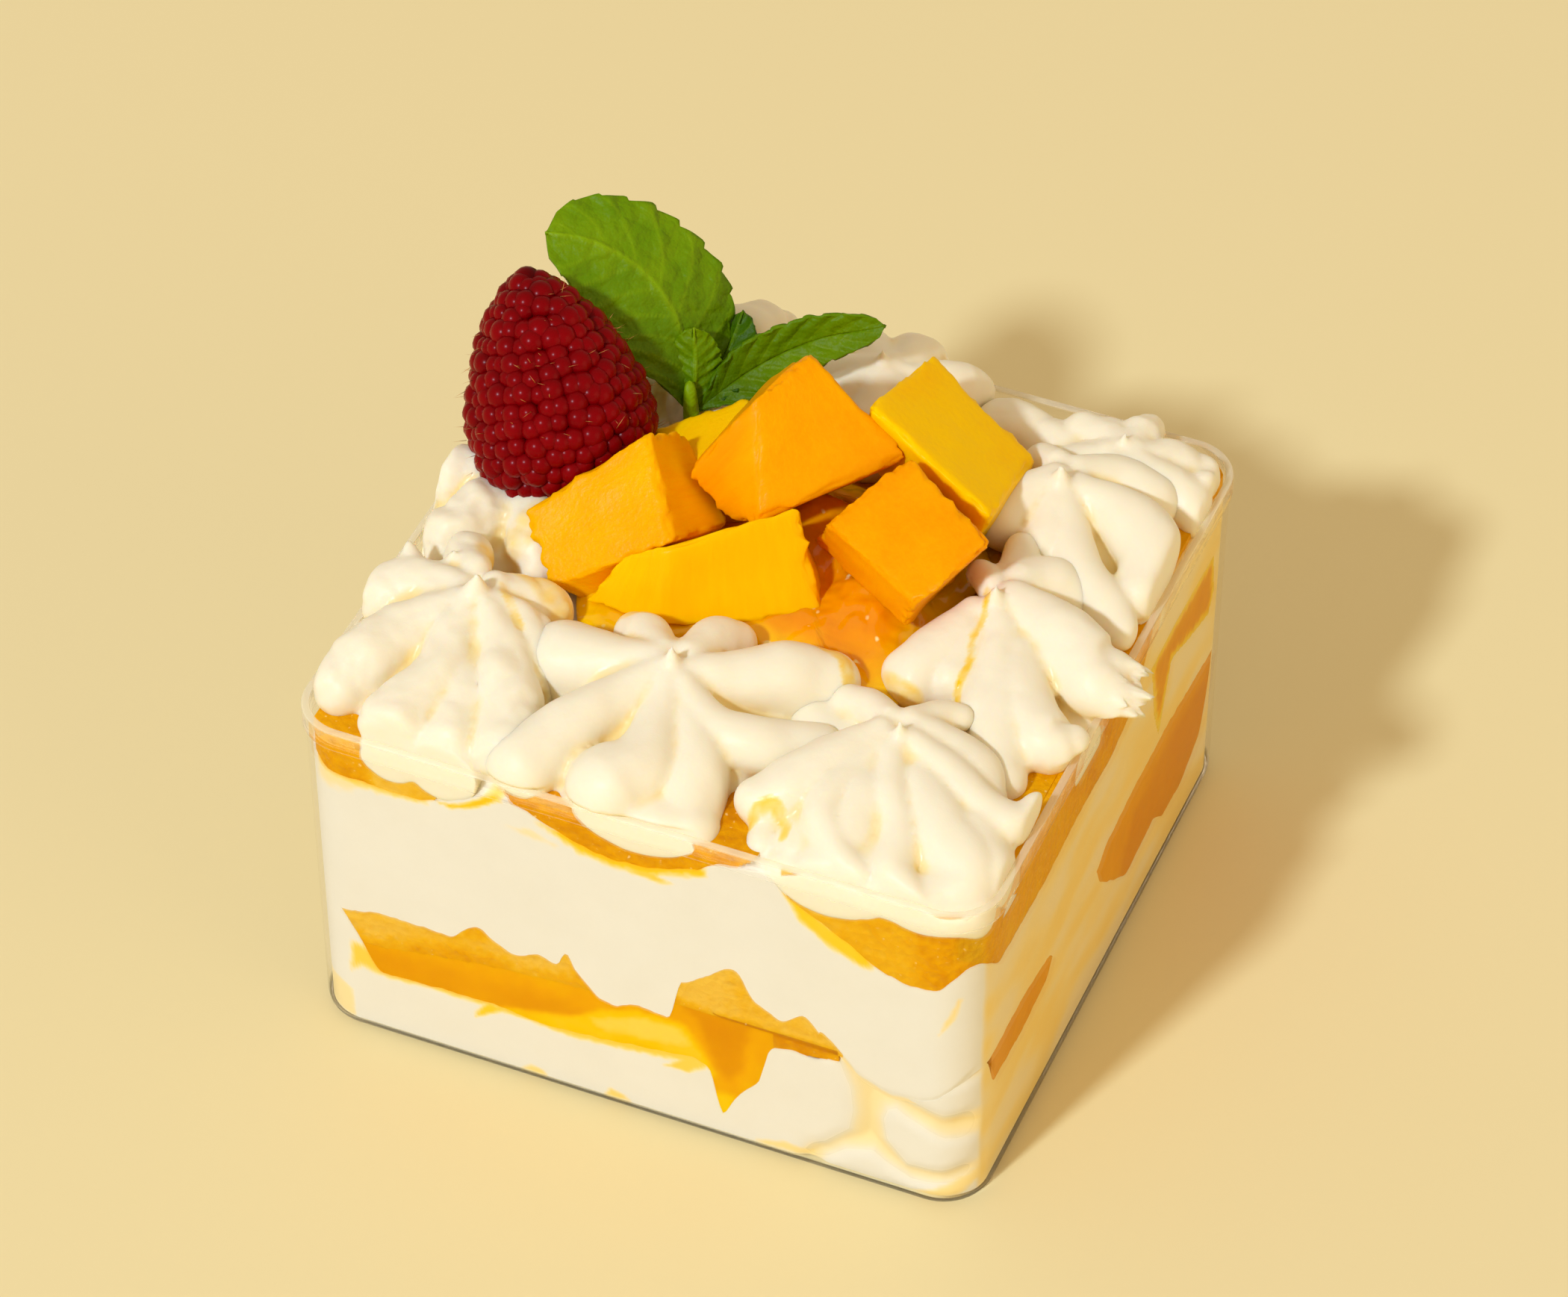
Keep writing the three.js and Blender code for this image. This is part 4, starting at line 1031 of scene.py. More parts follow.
# %% Stars at the back
# Along each of their ropes: share of its length, height (from the tip where negative) and radius.
SPOKE = ((0.08, -4.0, 1.7), (0.42, 48.4, 2.7), (0.75, 46.9, 3.3), (0.9, 46.2, 2.8))
HOOK = 14


def ring(place, tip, reach, bearings):
    """Ropes that leave a tip like the spokes of a wheel, each bending a little."""
    ropes = []
    for number, bearing in enumerate(bearings):
        long = reach * (0.9 + 0.2 * (number * 0.618 % 1))
        rows = []
        for share, z, radius in SPOKE:
            way = np.radians(bearing + HOOK * share)
            x = place[0] + long * share * np.cos(way)
            y = place[1] + long * share * np.sin(way)
            rows.append((x, y, tip + z if z < 0 else z, radius))
        ropes.append(rows)
    return ropes


for name, place, tip, reach, bearings, rough in [
    ("cream_star_back", (-0.4, 31.2), 54.6, 11.4, (-90, -35, 20, 70, 120, 175, 225), 0.35),
    ("cream_star_back_left", (-24, 27), 52.6, 15, (95, 150, 200, 250, 305, 355, 45), 0.9),
    ("cream_star_left", (-30, 1.5), 51.4, 13, (180, 235, 290, 340, 45, 110), 1.0),
]:
    STARS[name] = ((*place, tip), reach * 0.55, rough, ring(place, tip, reach, bearings))
print("ropes", {name: len(spec[3]) for name, spec in STARS.items()})

# %% [markdown]
# A rope is a sphere of rings drawn out along its path. All ropes of a star are joined and fused by a
# voxel remesh, which melts them into one body as cream does, where a boolean union would keep sharp
# seams. Lower ropes between neighbours keep the creases from going through to the bottom. The star is
# then smoothed, shaken by noise and pressed back inside the walls, and one of them ends in a torn edge
# over the rim.

# %% Rope shape
NEARLY_UP = (0.02, 0.01, 1.0)


def curve(rows, count):
    """Points evenly along a smooth line through rows."""
    rows = np.array(rows, float)
    held = np.vstack([2 * rows[0] - rows[1], rows, 2 * rows[-1] - rows[-2]])
    place = np.linspace(0, len(rows) - 1, count)
    index = np.minimum(place.astype(int), len(rows) - 2)
    t = (place - index)[:, None]
    a, b, c, d = (held[index + step] for step in range(4))
    bend = (2 * a - 5 * b + 4 * c - d) * t ** 2
    return 0.5 * (2 * b + (c - a) * t + bend + (3 * b - a - 3 * c + d) * t ** 3)


def rope(name, rows):
    """A sphere of rings drawn out along a path of (x, y, z, radius), round at both ends."""
    piece, angle, fall = ball(name, 32, 44)
    fine = curve(rows, 60)
    path, radius = fine[:, :3], np.maximum(fine[:, 3], 0.1)
    run = np.concatenate([[0], np.cumsum(np.linalg.norm(np.diff(path, axis=0), axis=1))])
    place = mix(-radius[0], run[-1] + radius[-1], (1 - np.cos(np.pi * fall)) / 2)
    on = np.clip(place, 0, run[-1])
    past = (place - on) / np.where(place < 0, radius[0], radius[-1])
    girth = np.interp(on, run, radius) * np.sqrt(np.maximum(1 - past ** 2, 0))
    way = unit_rows(at_places(on, run, np.gradient(path, run, axis=0)))
    side = unit_rows(np.cross(way, NEARLY_UP))
    over = np.cross(side, way)
    middle = at_places(on, run, path) + way * (place - on)[:, None]
    ring_out = np.cos(angle)[:, None] * side + np.sin(angle)[:, None] * over
    write(piece, middle + ring_out * girth[:, None])
    return piece


print("rope helpers ready")

# %% Creases and walls
EASE = 0.5


def press(points, reach, free_above):
    """Keeps points inside the walls, below a height; above it they may lean out over the rim."""
    half = outer_half(np.minimum(points[:, 2], BOX_HIGH)) - BOX_WALL + reach
    half = half + np.maximum(points[:, 2] - free_above, 0) * 3
    inner = half - FILL_CORNER
    flat = np.abs(points[:, :2])
    over = np.maximum(flat - inner[:, None], 0)
    far = np.maximum(np.hypot(*over.T), 1e-9)
    held = FILL_CORNER - EASE * np.logaddexp(0, (FILL_CORNER - far) / EASE)
    pulled = np.minimum(flat, inner[:, None]) + over * np.minimum(held / far, 1)[:, None]
    return np.column_stack([np.sign(points[:, :2]) * pulled, points[:, 2]])


def spread(piece, values, rounds):
    """Values at the points, each evened out with its neighbours' some times."""
    ends = np.empty(len(piece.data.edges) * 2, np.int32)
    piece.data.edges.foreach_get("vertices", ends)
    a, b = ends.reshape(-1, 2).T
    count = len(piece.data.vertices)
    degree = np.maximum(np.bincount(a, minlength=count) + np.bincount(b, minlength=count), 1)
    for step in range(rounds):
        values = (np.bincount(a, values[b], count) + np.bincount(b, values[a], count)) / degree
    return values


def normals_of(piece):
    flat = np.empty(len(piece.data.vertices) * 3, np.float32)
    piece.data.vertices.foreach_get("normal", flat)
    return flat.reshape(-1, 3).astype(float)


def webs(tip, ropes, sag):
    """Lower ropes that fill the space between neighbouring ones, stopping short of their ends."""
    def bearing(rows):
        return np.arctan2(rows[4, 1] - tip[1], rows[4, 0] - tip[0])

    def leaves_tip(rows):
        return len(rows) > 2 and np.hypot(rows[0][0] - tip[0], rows[0][1] - tip[1]) < 7

    spokes = [curve(rows, 7) for rows in ropes if leaves_tip(rows)]
    spokes.sort(key=bearing)
    made = []
    for one, two in zip(spokes, spokes[1:] + spokes[:1]):
        if (bearing(two) - bearing(one)) % (2 * np.pi) < 2.2:
            middle = (one + two) / 2
            apart = np.linalg.norm(one[:, :3] - two[:, :3], axis=1)
            crest = np.minimum(one[:, 2] + one[:, 3], two[:, 2] + two[:, 3])
            middle[:, 3] = np.clip(apart * 0.42, 1.0, 4.2)
            middle[:, 2] = crest - np.clip(apart * sag, 0.6, 4.6) - middle[:, 3]
            made.append(middle[:6])
    return made


print("crease helpers ready")

# %% Stars
FUSE = 0.42
SINK_TO = 39.4
FAT = 1.12
LEAN_ABOVE = {"cream_star_right": 46.0, "cream_star_front": 45.8}
NEVER = 90
# How deep the creases are, and the x beyond which the right star ends in a torn edge.
SAG = 0.46
DEEPER_SAG = {"cream_star_front_right": 0.65}
TORN_FROM = {"cream_star_right": 40.4}


def star_body(name, tip, wide, ropes):
    """The ropes of a star and its core, fused and smoothed."""
    x, y, top = tip
    ropes = [[(*row[:3], row[3] * FAT) for row in rows] for rows in ropes]
    ropes = ropes + webs(tip, ropes, DEEPER_SAG.get(name, SAG))
    core = [(x, y, top - 0.1, 0.12), (x, y, top - 1.4, 0.6), (x, y, top - 3.2, 1.5), (x, y, 48.6, 3.2),
            (x, y, 46.2, wide * 0.75), (x, y, 44.4, wide)]
    arms = [rope(f"{name}_{number}", rows) for number, rows in enumerate(ropes)]
    piece = join([rope(f"{name}_food", core)] + arms)
    apply(piece, "REMESH", mode="VOXEL", voxel_size=FUSE * MM)
    apply(piece, "SMOOTH", factor=0.5, iterations=4)
    return piece


def star(name, tip, wide, rough, ropes):
    """A star shaken by noise and pressed into the box, with painted shade, a faint warm tint, in its
    creases and below.
    """
    piece = star_body(name, tip, wide, ropes)
    points = read(piece)
    shake = grain(points, 6, 2) * 0.3
    if rough:
        lumps = 1.2 * np.abs(grain(points + 30, 6, 2)) + 0.22 * grain(points + 60, 2, 2)
        shake = shake + rough * (lumps - 0.3)
    points = points + normals_of(piece) * shake[:, None]
    points[:, 2] = np.maximum(points[:, 2], SINK_TO)
    points = press(points, 0.36, LEAN_ABOVE.get(name, NEVER))
    torn_from = TORN_FROM.get(name, NEVER)
    torn = smooth(points[:, 0], torn_from, torn_from + 1.6)
    points[:, 0] += torn * 3.2 * np.maximum(grain(points * (0.3, 1, 0.8), 1.3, 2) + 0.08, 0)
    write(piece, points)
    points = read(piece)
    soft = np.column_stack([spread(piece, part, 8) for part in points.T])
    # Painted shade: a faint warm tint in the creases and on faces that look down.
    crease = spread(piece, ((soft - points) * normals_of(piece)).sum(axis=1), 3)
    under = 0.15 * smooth(-normals_of(piece)[:, 2], -0.3, 0.5)
    paint(piece, "stain_and_shade", np.clip(np.maximum(crease * 0.9, under), 0, 0.2))
    return piece


stars = {name: star(name, *spec) for name, spec in STARS.items()}
print("stars", len(stars))

# %% [markdown]
# Mango sauce has run over some stars in thin streaks and touched the edges of others. A streak is a path
# seen from above, and points near it get more stain. Painting keeps the cream's form, which such a thin
# film doesn't change.

# %% Sauce stains on the stars
# Each streak: its star, its path, its width and how strong it is.
STREAKS = [
    ("cream_star_right", [(23.4, 2.4), (24.2, 0.8), (24.7, -2), (24.5, -4.5), (25.3, -7.5), (25.1, -10),
                          (25.9, -12.4), (25.7, -14.4)], 0.5, 0.45),
    ("cream_star_right", [(15.5, -11), (19, -12.4), (23, -12.6)], 1.3, 0.35),
    ("cream_star_front_right", [(11.8, -35.2), (12.4, -34.2), (13.6, -33.7), (14.9, -34), (15.8, -34.9),
                                (16, -36.2)], 0.7, 0.42),
    ("cream_star_front", [(9.5, -11.6), (13, -12.4), (14.6, -14.6)], 1.1, 0.4),
    ("cream_star_front", [(-13, -14.4), (-6, -12.6)], 1.4, 0.3),
    ("cream_star_front_left", [(-28, -12.5), (-22, -14.5), (-18, -16)], 2.6, 0.3),
    ("cream_star_front_left", [(-24, -18.5), (-20, -23)], 0.8, 0.3),
    ("cream_star_left", [(-27, -8), (-24, -3), (-24, 4)], 3.0, 0.22),
]


def streak(points, path, wide):
    """How close points are, seen from above, to a path: 1 on it, 0 beyond its width."""
    x, y = points[:, 0], points[:, 1]
    near = np.full(len(points), np.inf)
    for (ax, ay), (bx, by) in zip(path, path[1:]):
        dx, dy = bx - ax, by - ay
        share = np.clip(((x - ax) * dx + (y - ay) * dy) / (dx * dx + dy * dy), 0, 1)
        near = np.minimum(near, np.hypot(x - ax - share * dx, y - ay - share * dy))
    return 1 - smooth(near, wide * 0.4, wide)


for name, piece in stars.items():
    points = read(piece)
    stain_and_shade = np.empty(len(points), np.float32)
    piece.data.attributes["stain_and_shade"].data.foreach_get("value", stain_and_shade)
    for target, path, wide, depth in STREAKS:
        if target == name:
            uneven = 0.8 + 0.5 * grain(points, 1.5, 2)
            stain_and_shade = np.maximum(stain_and_shade, depth * streak(points, path, wide) * uneven)
    paint(piece, "stain_and_shade", stain_and_shade)
    dress(piece, star_cream, "cream", name)

# %% [markdown]
# Ripe mango flesh is wet and even in colour, with fine fibres along one way and light that goes far into
# it. The fibres follow each dice, so the finish reads a place that the dice carries along as an
# attribute, from before it was put in its pose. Object coordinates would run the fibres the same way
# through all of them.

# %% Mango finish
mango_finish, wire = new_finish("mango_flesh")
own = wire.add("Attribute", {"attribute_name": "own"}, {}, "Vector")
stretch = wire.add("VectorMath", {"operation": "MULTIPLY"}, {0: own, 1: (1.0, 1.0, 0.16)})
fibres = spots(wire, stretch, 0.0007, 3)
cloud = spots(wire, own, 0.009, 2)
tone = (painted(wire) + (cloud - 0.5) * 0.7 + (fibres - 0.5) * 0.22).clamp().ramp(
    (0.0, srgb(255, 198, 0)), (0.5, srgb(250, 172, 0)), (1.0, srgb(236, 142, 0)),
)
surface(wire, {
    "Base Color": tone, "Roughness": 0.3, "Normal": bump(wire, fibres, 0.22, 0.0004),
    "Subsurface Weight": 0.3, "Subsurface Radius": (1.0, 0.5, 0.02), "Subsurface Scale": 0.0025,
    "Specular IOR Level": 0.04,
})
print("mango finish")

# %% [markdown]
# The dice were cut by hand, so no two faces are parallel and the knife left the edges crisp but a little
# torn. Each starts as a cube, subdivided, with its edges rounded and roughened. The cube is then drawn
# between the corners of two or three sections, which lets every corner lie where it shows. Turning and
# scaling a cube would keep its faces parallel.

# %% Mango corners
MANGO_FLOOR = 45.4
# Each dice: its tone, the softness of its edges and its sections, four corners each.
DICE = {
    "mango_top": (0.75, 1.1, [
        [(-5.8, 2.2, 50.5), (-11.5, 2.3, 55.5), (-5.4, 7.1, 64), (-1.6, -0.2, 54.4)],
        [(2.6, 14.4, 49), (-8.9, 19.7, 56), (-1.7, 14, 66.5), (10.5, 10.7, 58.5)],
    ]),
    "mango_right": (0.8, 0.7, [
        [(16.6, -4.3, 49), (3.2, 4.2, 49), (5.7, 0.8, 55.5), (18.3, -5.7, 54)],
        [(19.5, 9.8, 48.5), (12.3, 12.6, 49.8), (11.8, 8.3, 60.5), (23.9, 1.5, 58.5)],
    ]),
    "mango_left": (0.5, 0.6, [
        [(-16, -9.3, 44), (-25.6, 0.9, 46), (-26.6, -6.6, 52), (-21.5, -11.5, 47)],
        [(-7, 2.4, 49.5), (-14.3, 8.2, 55), (-15.7, 1.2, 60.5), (-9.5, -6.8, 54)],
    ]),
    "mango_back_left": (0.1, 1.0, [
        [(-15.1, 3.2, 44), (-19.8, 12.1, 44.5), (-19, 11.4, 52), (-15.4, 2, 52)],
        [(-5.7, 7.5, 46), (-10.1, 17.1, 47), (-10.3, 16.1, 55.5), (-6.7, 6.2, 55)],
    ]),
    "mango_back_right": (0.0, 0.9, [
        [(17.6, 10.7, 47), (3.7, 15.5, 52), (6, 12, 63), (21.3, 8.2, 56)],
        [(19.8, 20.8, 46), (3.9, 27.5, 50), (7.5, 26.7, 59), (20.7, 23.3, 52)],
    ]),
    # The front one is a longer wedge with a bend in its face.
    "mango_front": (0.22, 0.6, [
        [(-17, -11.4, 46.4), (-15.5, -5, 46.4), (-14.5, -5.2, 49), (-14.2, -8.6, 51.4)],
        [(-8.5, -12, 46.4), (-11.5, -2.5, 46.4), (-11, -3.2, 49.6), (-9.3, -7.9, 54)],
        [(6.6, -4.2, 46.4), (3, 3, 46.4), (0.4, 4.2, 50.6), (1.9, 0.6, 56.2)],
    ]),
}
SQUARE = np.array([(-1, -1), (1, -1), (1, 1), (-1, 1)])
print("dice", list(DICE))

# %% Mango dice
def rounded_cube(name, size, soft, tone):
    """A fine cube of half sizes, with rounded and roughened edges, and its points."""
    piece = start_with(bpy.ops.mesh.primitive_cube_add, name, size=2 * MM)
    bpy.ops.object.mode_set(mode="EDIT")
    bpy.ops.mesh.select_all(action="SELECT")
    bpy.ops.mesh.subdivide(number_cuts=30)
    bpy.ops.object.mode_set(mode="OBJECT")
    # A sine crowds the rows of points towards the edges, where they are needed.
    points = np.sin(read(piece) * np.pi / 2) * size
    core = np.clip(points, soft - size, size - soft)
    away = points - core
    far = np.maximum(np.linalg.norm(away, axis=1), 1e-9)
    points = core + away * np.minimum(soft / far, 1)[:, None]
    edge = smooth(np.sort(np.abs(points) - size, axis=1)[:, 1], -1.0, -0.1)
    torn = edge * grain(points + tone * 50, 1.5, 3) * 0.6
    shake = grain(points + tone * 90, 6, 2) * 0.25 + torn
    return piece, points + unit_rows(points) * shake[:, None]


def dice(name, tone, soft, sections):
    """A rounded cube drawn between the corners of its sections."""
    sections = np.array(sections, float)
    size = np.array([np.linalg.norm(sections[-1].mean(0) - sections[0].mean(0)),
                     np.linalg.norm(sections[:, 1] - sections[:, 0], axis=1).mean(),
                     np.linalg.norm(sections[:, 3] - sections[:, 0], axis=1).mean()]) / 2
    piece, points = rounded_cube(f"{name}_food", size, soft, tone)
    own = piece.data.attributes.new("own", "FLOAT_VECTOR", "POINT")
    own.data.foreach_set("vector", (points * MM).astype(np.float32).ravel())
    paint(piece, "stain_and_shade", tone)
    x, y, z = (points / size * (1 + 0.3 * soft / size.mean())).T
    along = (x + 1) / 2 * (len(sections) - 1)
    index = np.clip(np.floor(along).astype(int), 0, len(sections) - 2)
    share = (along - index)[:, None, None]
    corners = mix(sections[index], sections[index + 1], share)
    weights = (1 + SQUARE[:, 0] * y[:, None]) * (1 + SQUARE[:, 1] * z[:, None]) / 4
    places = (corners * weights[:, :, None]).sum(axis=1)
    places[:, 2] = np.maximum(places[:, 2], MANGO_FLOOR)
    write(piece, places)
    face_outwards()
    return piece


for name, spec in DICE.items():
    dress(dice(name, *spec), mango_finish, "mango", name)

# %% [markdown]
# Mango sauce was spooned over the middle and ran down between the dice. It is a low, wet cushion with a
# wavy edge and two heaps, so a flattened sphere whose rim follows a table of places is enough. A fluid
# simulation would take minutes for the same pool. Its gloss and a few painted glints, bright spots in its
# colour, do the rest.

# %% Sauce finish
sauce_finish, wire = new_finish("mango_sauce")
place = wire.add("TexCoord", {}, {}, "Object")
cloud = spots(wire, place, 0.004, 3)
tone = (painted(wire) + (cloud - 0.5) * 0.4).clamp().ramp(
    (0.0, srgb(253, 194, 0)), (0.4, srgb(242, 156, 0)), (1.0, srgb(220, 110, 0)),
)
# Painted highlight: sparse bright spots in the colour stand for glints.
painted_glint = ((spots(wire, place, 0.0017, 1) - 0.71) * 14).clamp()
surface(wire, {
    "Base Color": painted_glint.blend(tone, srgb(255, 234, 160)), "Roughness": 0.08,
    "Normal": bump(wire, spots(wire, place, 0.0028, 1), 0.7, 0.0012), "Specular IOR Level": 0.35,
    "Subsurface Weight": 0.25, "Subsurface Radius": (1.0, 0.4, 0.02), "Subsurface Scale": 0.003,
})
print("sauce finish")

# %% Sauce
# Where the edge of the sauce lies, seen from above, and its heaps as (x, y, spread, height).
POOL_EDGE = [
    (-17.4, -14), (-11.4, -14.4), (-5, -11), (0.9, -9.5), (5.6, -9.8), (10, -11), (13.6, -15.4),
    (17.4, -15.6), (19.6, -11), (19.4, -5), (18.7, 2.7), (20.3, 6.8), (20.6, 11.6), (16, 17), (4, 18),
    (-8, 16), (-16, 10), (-19, 0), (-20, -8),
]
POOL_MIDDLE = np.array([2.0, 2.0])
POOL_TOP = 46.4
POOL_LOW = 45.0
HEAPS = [(14, -1, 50, 3.4), (2, 9, 26, 4.6)]
edge = np.array(POOL_EDGE) - POOL_MIDDLE
edge_way = np.arctan2(edge[:, 1], edge[:, 0])
edge_far = np.hypot(*edge.T)
order = np.argsort(edge_way)
sauce, angle, fall = ball("sauce_pool_food", 200, 70)
far = np.interp(angle, edge_way[order], edge_far[order], period=2 * np.pi)
out = np.sin(np.pi * fall) ** 0.6
plan = POOL_MIDDLE + np.column_stack([np.cos(angle), np.sin(angle)]) * (far * out)[:, None]
top = fall < 0.5
crown = POOL_LOW + (POOL_TOP - POOL_LOW) * np.sqrt(np.maximum(1 - out ** 5, 0))
points = np.column_stack([plan, np.where(top, crown, POOL_LOW - 1.0 * (1 - out))])
heap = 0
for x, y, wide, high in HEAPS:
    heap = heap + np.exp(-((plan[:, 0] - x) ** 2 + (plan[:, 1] - y) ** 2) / wide) * high
waves = grain(points, 3.5, 2) * 0.6 + grain(points, 1.7, 1) * 0.2
points[:, 2] += np.where(top, waves * (1 - out ** 6) + heap * (1 - out ** 4), 0)
write(sauce, points)
paint(sauce, "stain_and_shade", 0.05 + 0.5 * smooth(1 - out, 0.05, 0.35))
dress(sauce, sauce_finish, "puree", "sauce_pool")

# %% [markdown]
# The red berry is a blunt cone of small round drupelets, set in rows that shift by half a step, with a
# few fine golden hairs. One small sphere is copied to every place on the cone and all are joined over a
# plain core. Many real spheres look right from every side, where a bump on a cone wouldn't. The finish is
# deep red, with painted shade: darker in the gaps and on the drupelets' sides, lighter on their tops.

# %% Berry finish
berry_finish, wire = new_finish("red_berry")
place = wire.add("TexCoord", {}, {}, "Object")
tone = (painted(wire) + (spots(wire, place, 0.004, 2) - 0.5) * 0.5).clamp().ramp(
    (0.0, srgb(138, 0, 6)), (0.5, srgb(112, 0, 4)), (1.0, srgb(76, 0, 2)),
)
surface(wire, {
    "Base Color": tone, "Roughness": 0.24, "Subsurface Weight": 0.15, "Specular IOR Level": 0.07,
    "Subsurface Radius": (1.0, 0.1, 0.08), "Subsurface Scale": 0.0012,
})
print("berry finish")

# %% Berry form
BERRY_BASE = np.array([-25.4, 3.4, 48.0])
BERRY_TIP = np.array([-34.6, 12.1, 67.6])
# How wide the berry is at distances down from its top.
BERRY_SHAPE = [(0, 0.3), (0.5, 2.3), (2.2, 4.5), (5.3, 6.7), (10, 8.9), (13.2, 9.9), (16, 10.3), (18.8, 10),
               (21, 8.8), (22.6, 6.2), (23.4, 0.3)]


def unit_of(vector):
    return vector / np.linalg.norm(vector)


def berry_girth(rise):
    """How wide the berry is at a share of its height."""
    down, wide = np.array(BERRY_SHAPE).T
    return np.interp((1 - rise) * BERRY_LONG, down, wide)


BERRY_LONG = np.linalg.norm(BERRY_TIP - BERRY_BASE)
BERRY_AXIS = unit_of(BERRY_TIP - BERRY_BASE)
BERRY_SIDE = unit_of(np.cross(BERRY_AXIS, (0, 0, 1)))
BERRY_FRONT = np.cross(BERRY_AXIS, BERRY_SIDE)


def berry_point(rise, angle, out=0.0):
    """Places on the cone, with their way out from its axis."""
    ways = np.outer(np.cos(angle), BERRY_SIDE) + np.outer(np.sin(angle), BERRY_FRONT)
    girth = np.maximum(berry_girth(rise) + out, 0.05)
    return BERRY_BASE + np.outer(rise, BERRY_AXIS) * BERRY_LONG + ways * girth[:, None], ways


print("berry", round(float(BERRY_LONG), 1), "mm long")

# %% Many copies in one mesh
def scatter(name, pattern, places, sizes):
    """One mesh of many copies of a small pattern, each at its place and size; the pattern is removed."""
    unit = read(pattern)
    faces = [np.array(face.vertices) for face in pattern.data.polygons]
    points = (places[:, None, :] + unit[None] * sizes[:, None, :]).reshape(-1, 3)
    mesh = bpy.data.meshes.new(name)
    rows = [(face + copy * len(unit)).tolist() for copy in range(len(places)) for face in faces]
    mesh.from_pydata((points * MM).tolist(), [], rows)
    piece = bpy.data.objects.new(name, mesh)
    bpy.context.collection.objects.link(piece)
    bpy.data.objects.remove(pattern)
    return piece, np.tile(unit, (len(places), 1))


print("scatter ready")

# %% Drupelets
DRUPE = 1.5
ROW_STEP = 1.75
ROUND_STEP = 1.85
ENDS = (0.004, 0.996)
rng = np.random.default_rng(7)
steps = np.linspace(*ENDS, 400)
profile = np.column_stack([steps * BERRY_LONG, berry_girth(steps)])
run = np.concatenate([[0], np.cumsum(np.hypot(*np.diff(profile, axis=0).T))])
rows = int(run[-1] / ROW_STEP)
rises, turns = [], []
for row in range(rows + 1):
    rise_to = float(np.interp(run[-1] * row / rows, run, steps))
    count = max(1, int(round(2 * np.pi * berry_girth(rise_to) / ROUND_STEP)))
    for number in range(count):
        rises.append(np.clip(rise_to + rng.uniform(-0.016, 0.016), *ENDS))
        turns.append(2 * np.pi * (number + 0.5 * (row % 2) + rng.uniform(-0.3, 0.3)) / count)
spots_at, ways = berry_point(np.array(rises), np.array(turns), -1.08)
sizes = np.repeat(DRUPE * rng.uniform(0.82, 1.12, len(spots_at))[:, None], 3, axis=1)
add = bpy.ops.mesh.primitive_uv_sphere_add
pattern = start_with(add, "drupelet", segments=12, ring_count=9, radius=MM)
berry, unit = scatter("berry_food", pattern, spots_at, sizes)
# Painted shade: each drupelet is lighter on its top and darker on its sides, where it meets its neighbours.
lift = (unit * np.repeat(ways, len(unit) // len(ways), axis=0)).sum(axis=1)
paint(berry, "stain_and_shade", np.clip(0.7 - 0.5 * lift, 0, 1))
core, angle, fall = ball("berry_core", 40, 24)
write(core, berry_point(np.clip(1 - fall, 0.02, 0.98), angle, -1.4)[0])
# Painted shade: the core, which shows only in the gaps, gets the darkest red.
paint(core, "stain_and_shade", 1.0)
join([berry, core])
dress(berry, berry_finish, "berry", "berry")
print("drupelets", len(spots_at))

# %% Hairs on the berry
HAIRS = 110
hair_finish, wire = new_finish("berry_hair")
place = wire.add("TexCoord", {}, {}, "Object")
tone = spots(wire, place, 0.002).blend(srgb(190, 110, 50), srgb(225, 170, 90))
surface(wire, {"Base Color": tone, "Roughness": 0.5})
pattern = start_with(bpy.ops.mesh.primitive_cone_add, "hair", vertices=4, radius1=MM, depth=2 * MM)
roots, ways = berry_point(rng.uniform(0.08, 0.95, HAIRS), rng.uniform(0, 2 * np.pi, HAIRS), 0.3)
hairs, unit = scatter("berry_hairs", pattern, roots, np.full((HAIRS, 3), 0.06))
lean = unit_of(np.array([0.2, -0.3, 0.4])) * 0.5 + rng.normal(0, 0.35, (HAIRS, 3))
length = rng.uniform(0.7, 1.5, HAIRS)[:, None]
reach_out = np.repeat((ways + lean) * length, len(unit) // HAIRS, axis=0) * (unit[:, 2:] + 1) / 2
write(hairs, read(hairs) + reach_out)
dress(hairs, hair_finish, "berry")

# %% [markdown]
# The mint sprig has four toothed leaves on a short stem. A leaf is a fine grid pulled into a pointed oval
# along its midrib, folded and bowed, with veins as low relief, and given a thin body by Solidify. A flat
# leaf with a cut-out picture would be simpler, but it shows no teeth or folds from the side. Small cells
# in the bump give the puckered skin.

# %% Mint finish
mint_finish, wire = new_finish("mint_leaf")
place = wire.add("TexCoord", {}, {}, "Object")
cloud = spots(wire, place, 0.005, 3)
# Painted shade: the "deep" number darkens the green where a leaf lies in shade.
flesh = painted(wire, "deep").blend(cloud.blend(srgb(82, 124, 0), srgb(132, 160, 0)), srgb(44, 80, 0))
pucker = spots(wire, place, 0.0012, 2) - cells(wire, place, 480)
surface(wire, {
    "Base Color": painted(wire).blend(flesh, srgb(150, 180, 10)), "Roughness": 0.45,
    "Normal": bump(wire, pucker, 0.6, 0.0007), "Subsurface Weight": 0.15,
    "Subsurface Radius": (0.4, 1.0, 0.1), "Subsurface Scale": 0.001, "Specular IOR Level": 0.1,
})
print("mint finish")

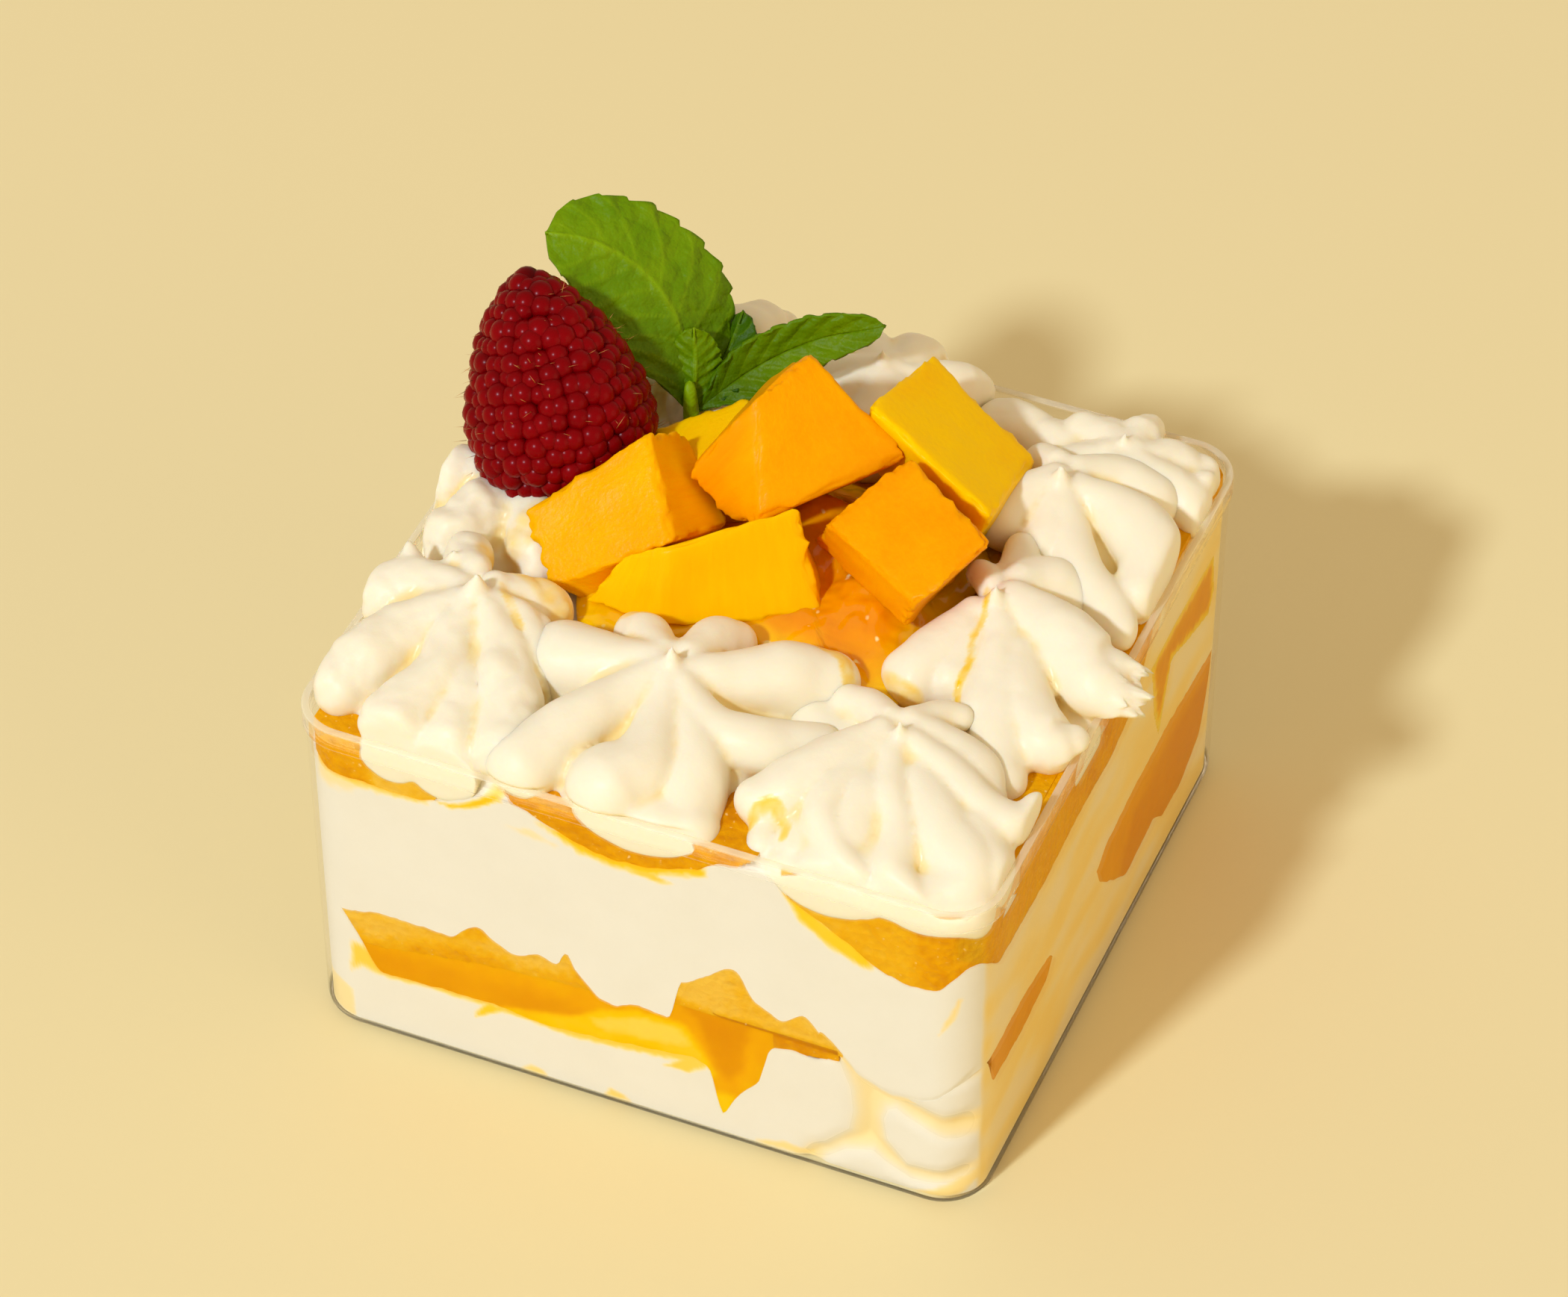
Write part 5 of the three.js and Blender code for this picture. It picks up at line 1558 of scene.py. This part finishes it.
# %% Leaf shapes
# Each leaf: the points of its midrib, the way across it, half its width, its fold, bow and painted shade.
LEAVES = [
    ([(-17.2, 16.6, 51), (-19.4, 19.6, 56), (-21.6, 21.4, 60.2), (-25.8, 22.4, 64), (-31, 21.6, 66.8),
      (-36, 20, 67.8)], (0.36, 0.88, 0.31), 8.2, 1.0, 0.0, 0.1),
    ([(-16.8, 17, 51), (-12.4, 22, 54.4), (-6.4, 26, 57.6), (0.9, 28.4, 60)],
     (-0.35, 0.42, 0.84), 3.2, 1.2, 0.5, 0.3),
    ([(-17, 16.6, 51), (-17.6, 18.6, 55.5), (-18.6, 20.6, 59.4)], (0.92, 0.36, -0.1), 3.1, 1.2, 0.4, 0.2),
    ([(-16.8, 17.4, 51), (-16, 22, 54.4), (-15.4, 27.2, 57.6)], (0.9, -0.2, 0.36), 3.4, 1.0, 0.6, 0.85),
]
# Half the width of a leaf along its midrib, and how many teeth and side veins it has.
LEAF_SHAPE = [(0, 0.05), (0.08, 0.3), (0.2, 0.76), (0.35, 1.0), (0.5, 1.0), (0.68, 0.9), (0.82, 0.73),
              (0.91, 0.55), (0.97, 0.34), (1, 0.0)]
TEETH = 13
VEINS = 8
LEAF_THICK = 0.45


def leaf(number, midrib_path, side_way, width, fold, bow, painted_shade):
    """A grid drawn along a midrib, with teeth at its edge and veins as low relief."""
    add = bpy.ops.mesh.primitive_grid_add
    piece = start_with(add, f"leaf_{number}", x_subdivisions=100, y_subdivisions=44, size=2 * MM)
    grid = read(piece)
    along = np.clip((grid[:, 0] + 1) / 2, 0, 1)
    across = grid[:, 1]
    away = np.abs(across)
    belly = np.sin(np.pi * along)
    fine = curve(midrib_path, 80)
    steps = np.linspace(0, 1, 80)
    way = unit_rows(at_places(along, steps, np.gradient(fine, axis=0)))
    side = np.array(side_way, float) - way * (way @ np.array(side_way, float))[:, None]
    side = unit_rows(side)
    teeth = np.abs((along * TEETH + 0.3) % 1 - 0.15) / 0.85
    half = width * np.interp(along, *np.array(LEAF_SHAPE).T)
    half = half - 0.08 * width * teeth * belly * away ** 4
    vein_run = np.abs(((along - away * 0.2) * VEINS) % 1 - 0.5) * 2
    vein_line = smooth(vein_run, 0.84, 0.99) * smooth(away, 0.02, 0.1) * (away < 0.92)
    midrib = 1 - smooth(away, 0.015, 0.06)
    quilt = 0.45 * (1 - smooth(vein_run, 0.2, 1.0)) * away * belly
    folded = fold * away ** 1.4 * np.sin(np.pi * np.clip(along, 0.05, 1))
    lift = folded + bow * belly + quilt - 0.25 * midrib
    middle = at_places(along, steps, fine)
    write(piece, middle + side * (across * half)[:, None] + np.cross(way, side) * lift[:, None])
    paint(piece, "stain_and_shade", np.clip(0.24 * vein_line + 0.4 * midrib, 0, 1) * (1 - 0.6 * painted_shade))
    # Painted shade: a leaf that lies in shade is darker all over, and every leaf is darker towards its
    # base.
    paint(piece, "deep", np.clip(painted_shade + 0.35 * (1 - smooth(along, 0.1, 0.6)), 0, 1))
    apply(piece, "SOLIDIFY", thickness=LEAF_THICK * MM, offset=0)
    return piece


print("leaves to make:", len(LEAVES))

# %% Mint sprig
SPRIG_BASE = np.array([-17.0, 16.0, 51.0])
STEM_FOOT = np.array([0.6, -1.0, -5.0])
STEM_TOP = np.array([-0.6, 1.0, 4.0])
STEM_THICK = 0.9
stem, angle, fall = ball("mint_sprig_food", 16, 20)
spine = SPRIG_BASE + np.outer(fall, STEM_FOOT) + np.outer(1 - fall, STEM_TOP)
thick = STEM_THICK * np.sin(np.pi * np.clip(fall, 0.0, 1)) ** 0.3
write(stem, spine + np.column_stack([thick * np.cos(angle), thick * np.sin(angle), 0 * angle]))
paint(stem, "stain_and_shade", 0.5)
paint(stem, "deep", 0.0)
mint = join([stem] + [leaf(number, *spec) for number, spec in enumerate(LEAVES)])
dress(mint, mint_finish, "mint", "mint_sprig")
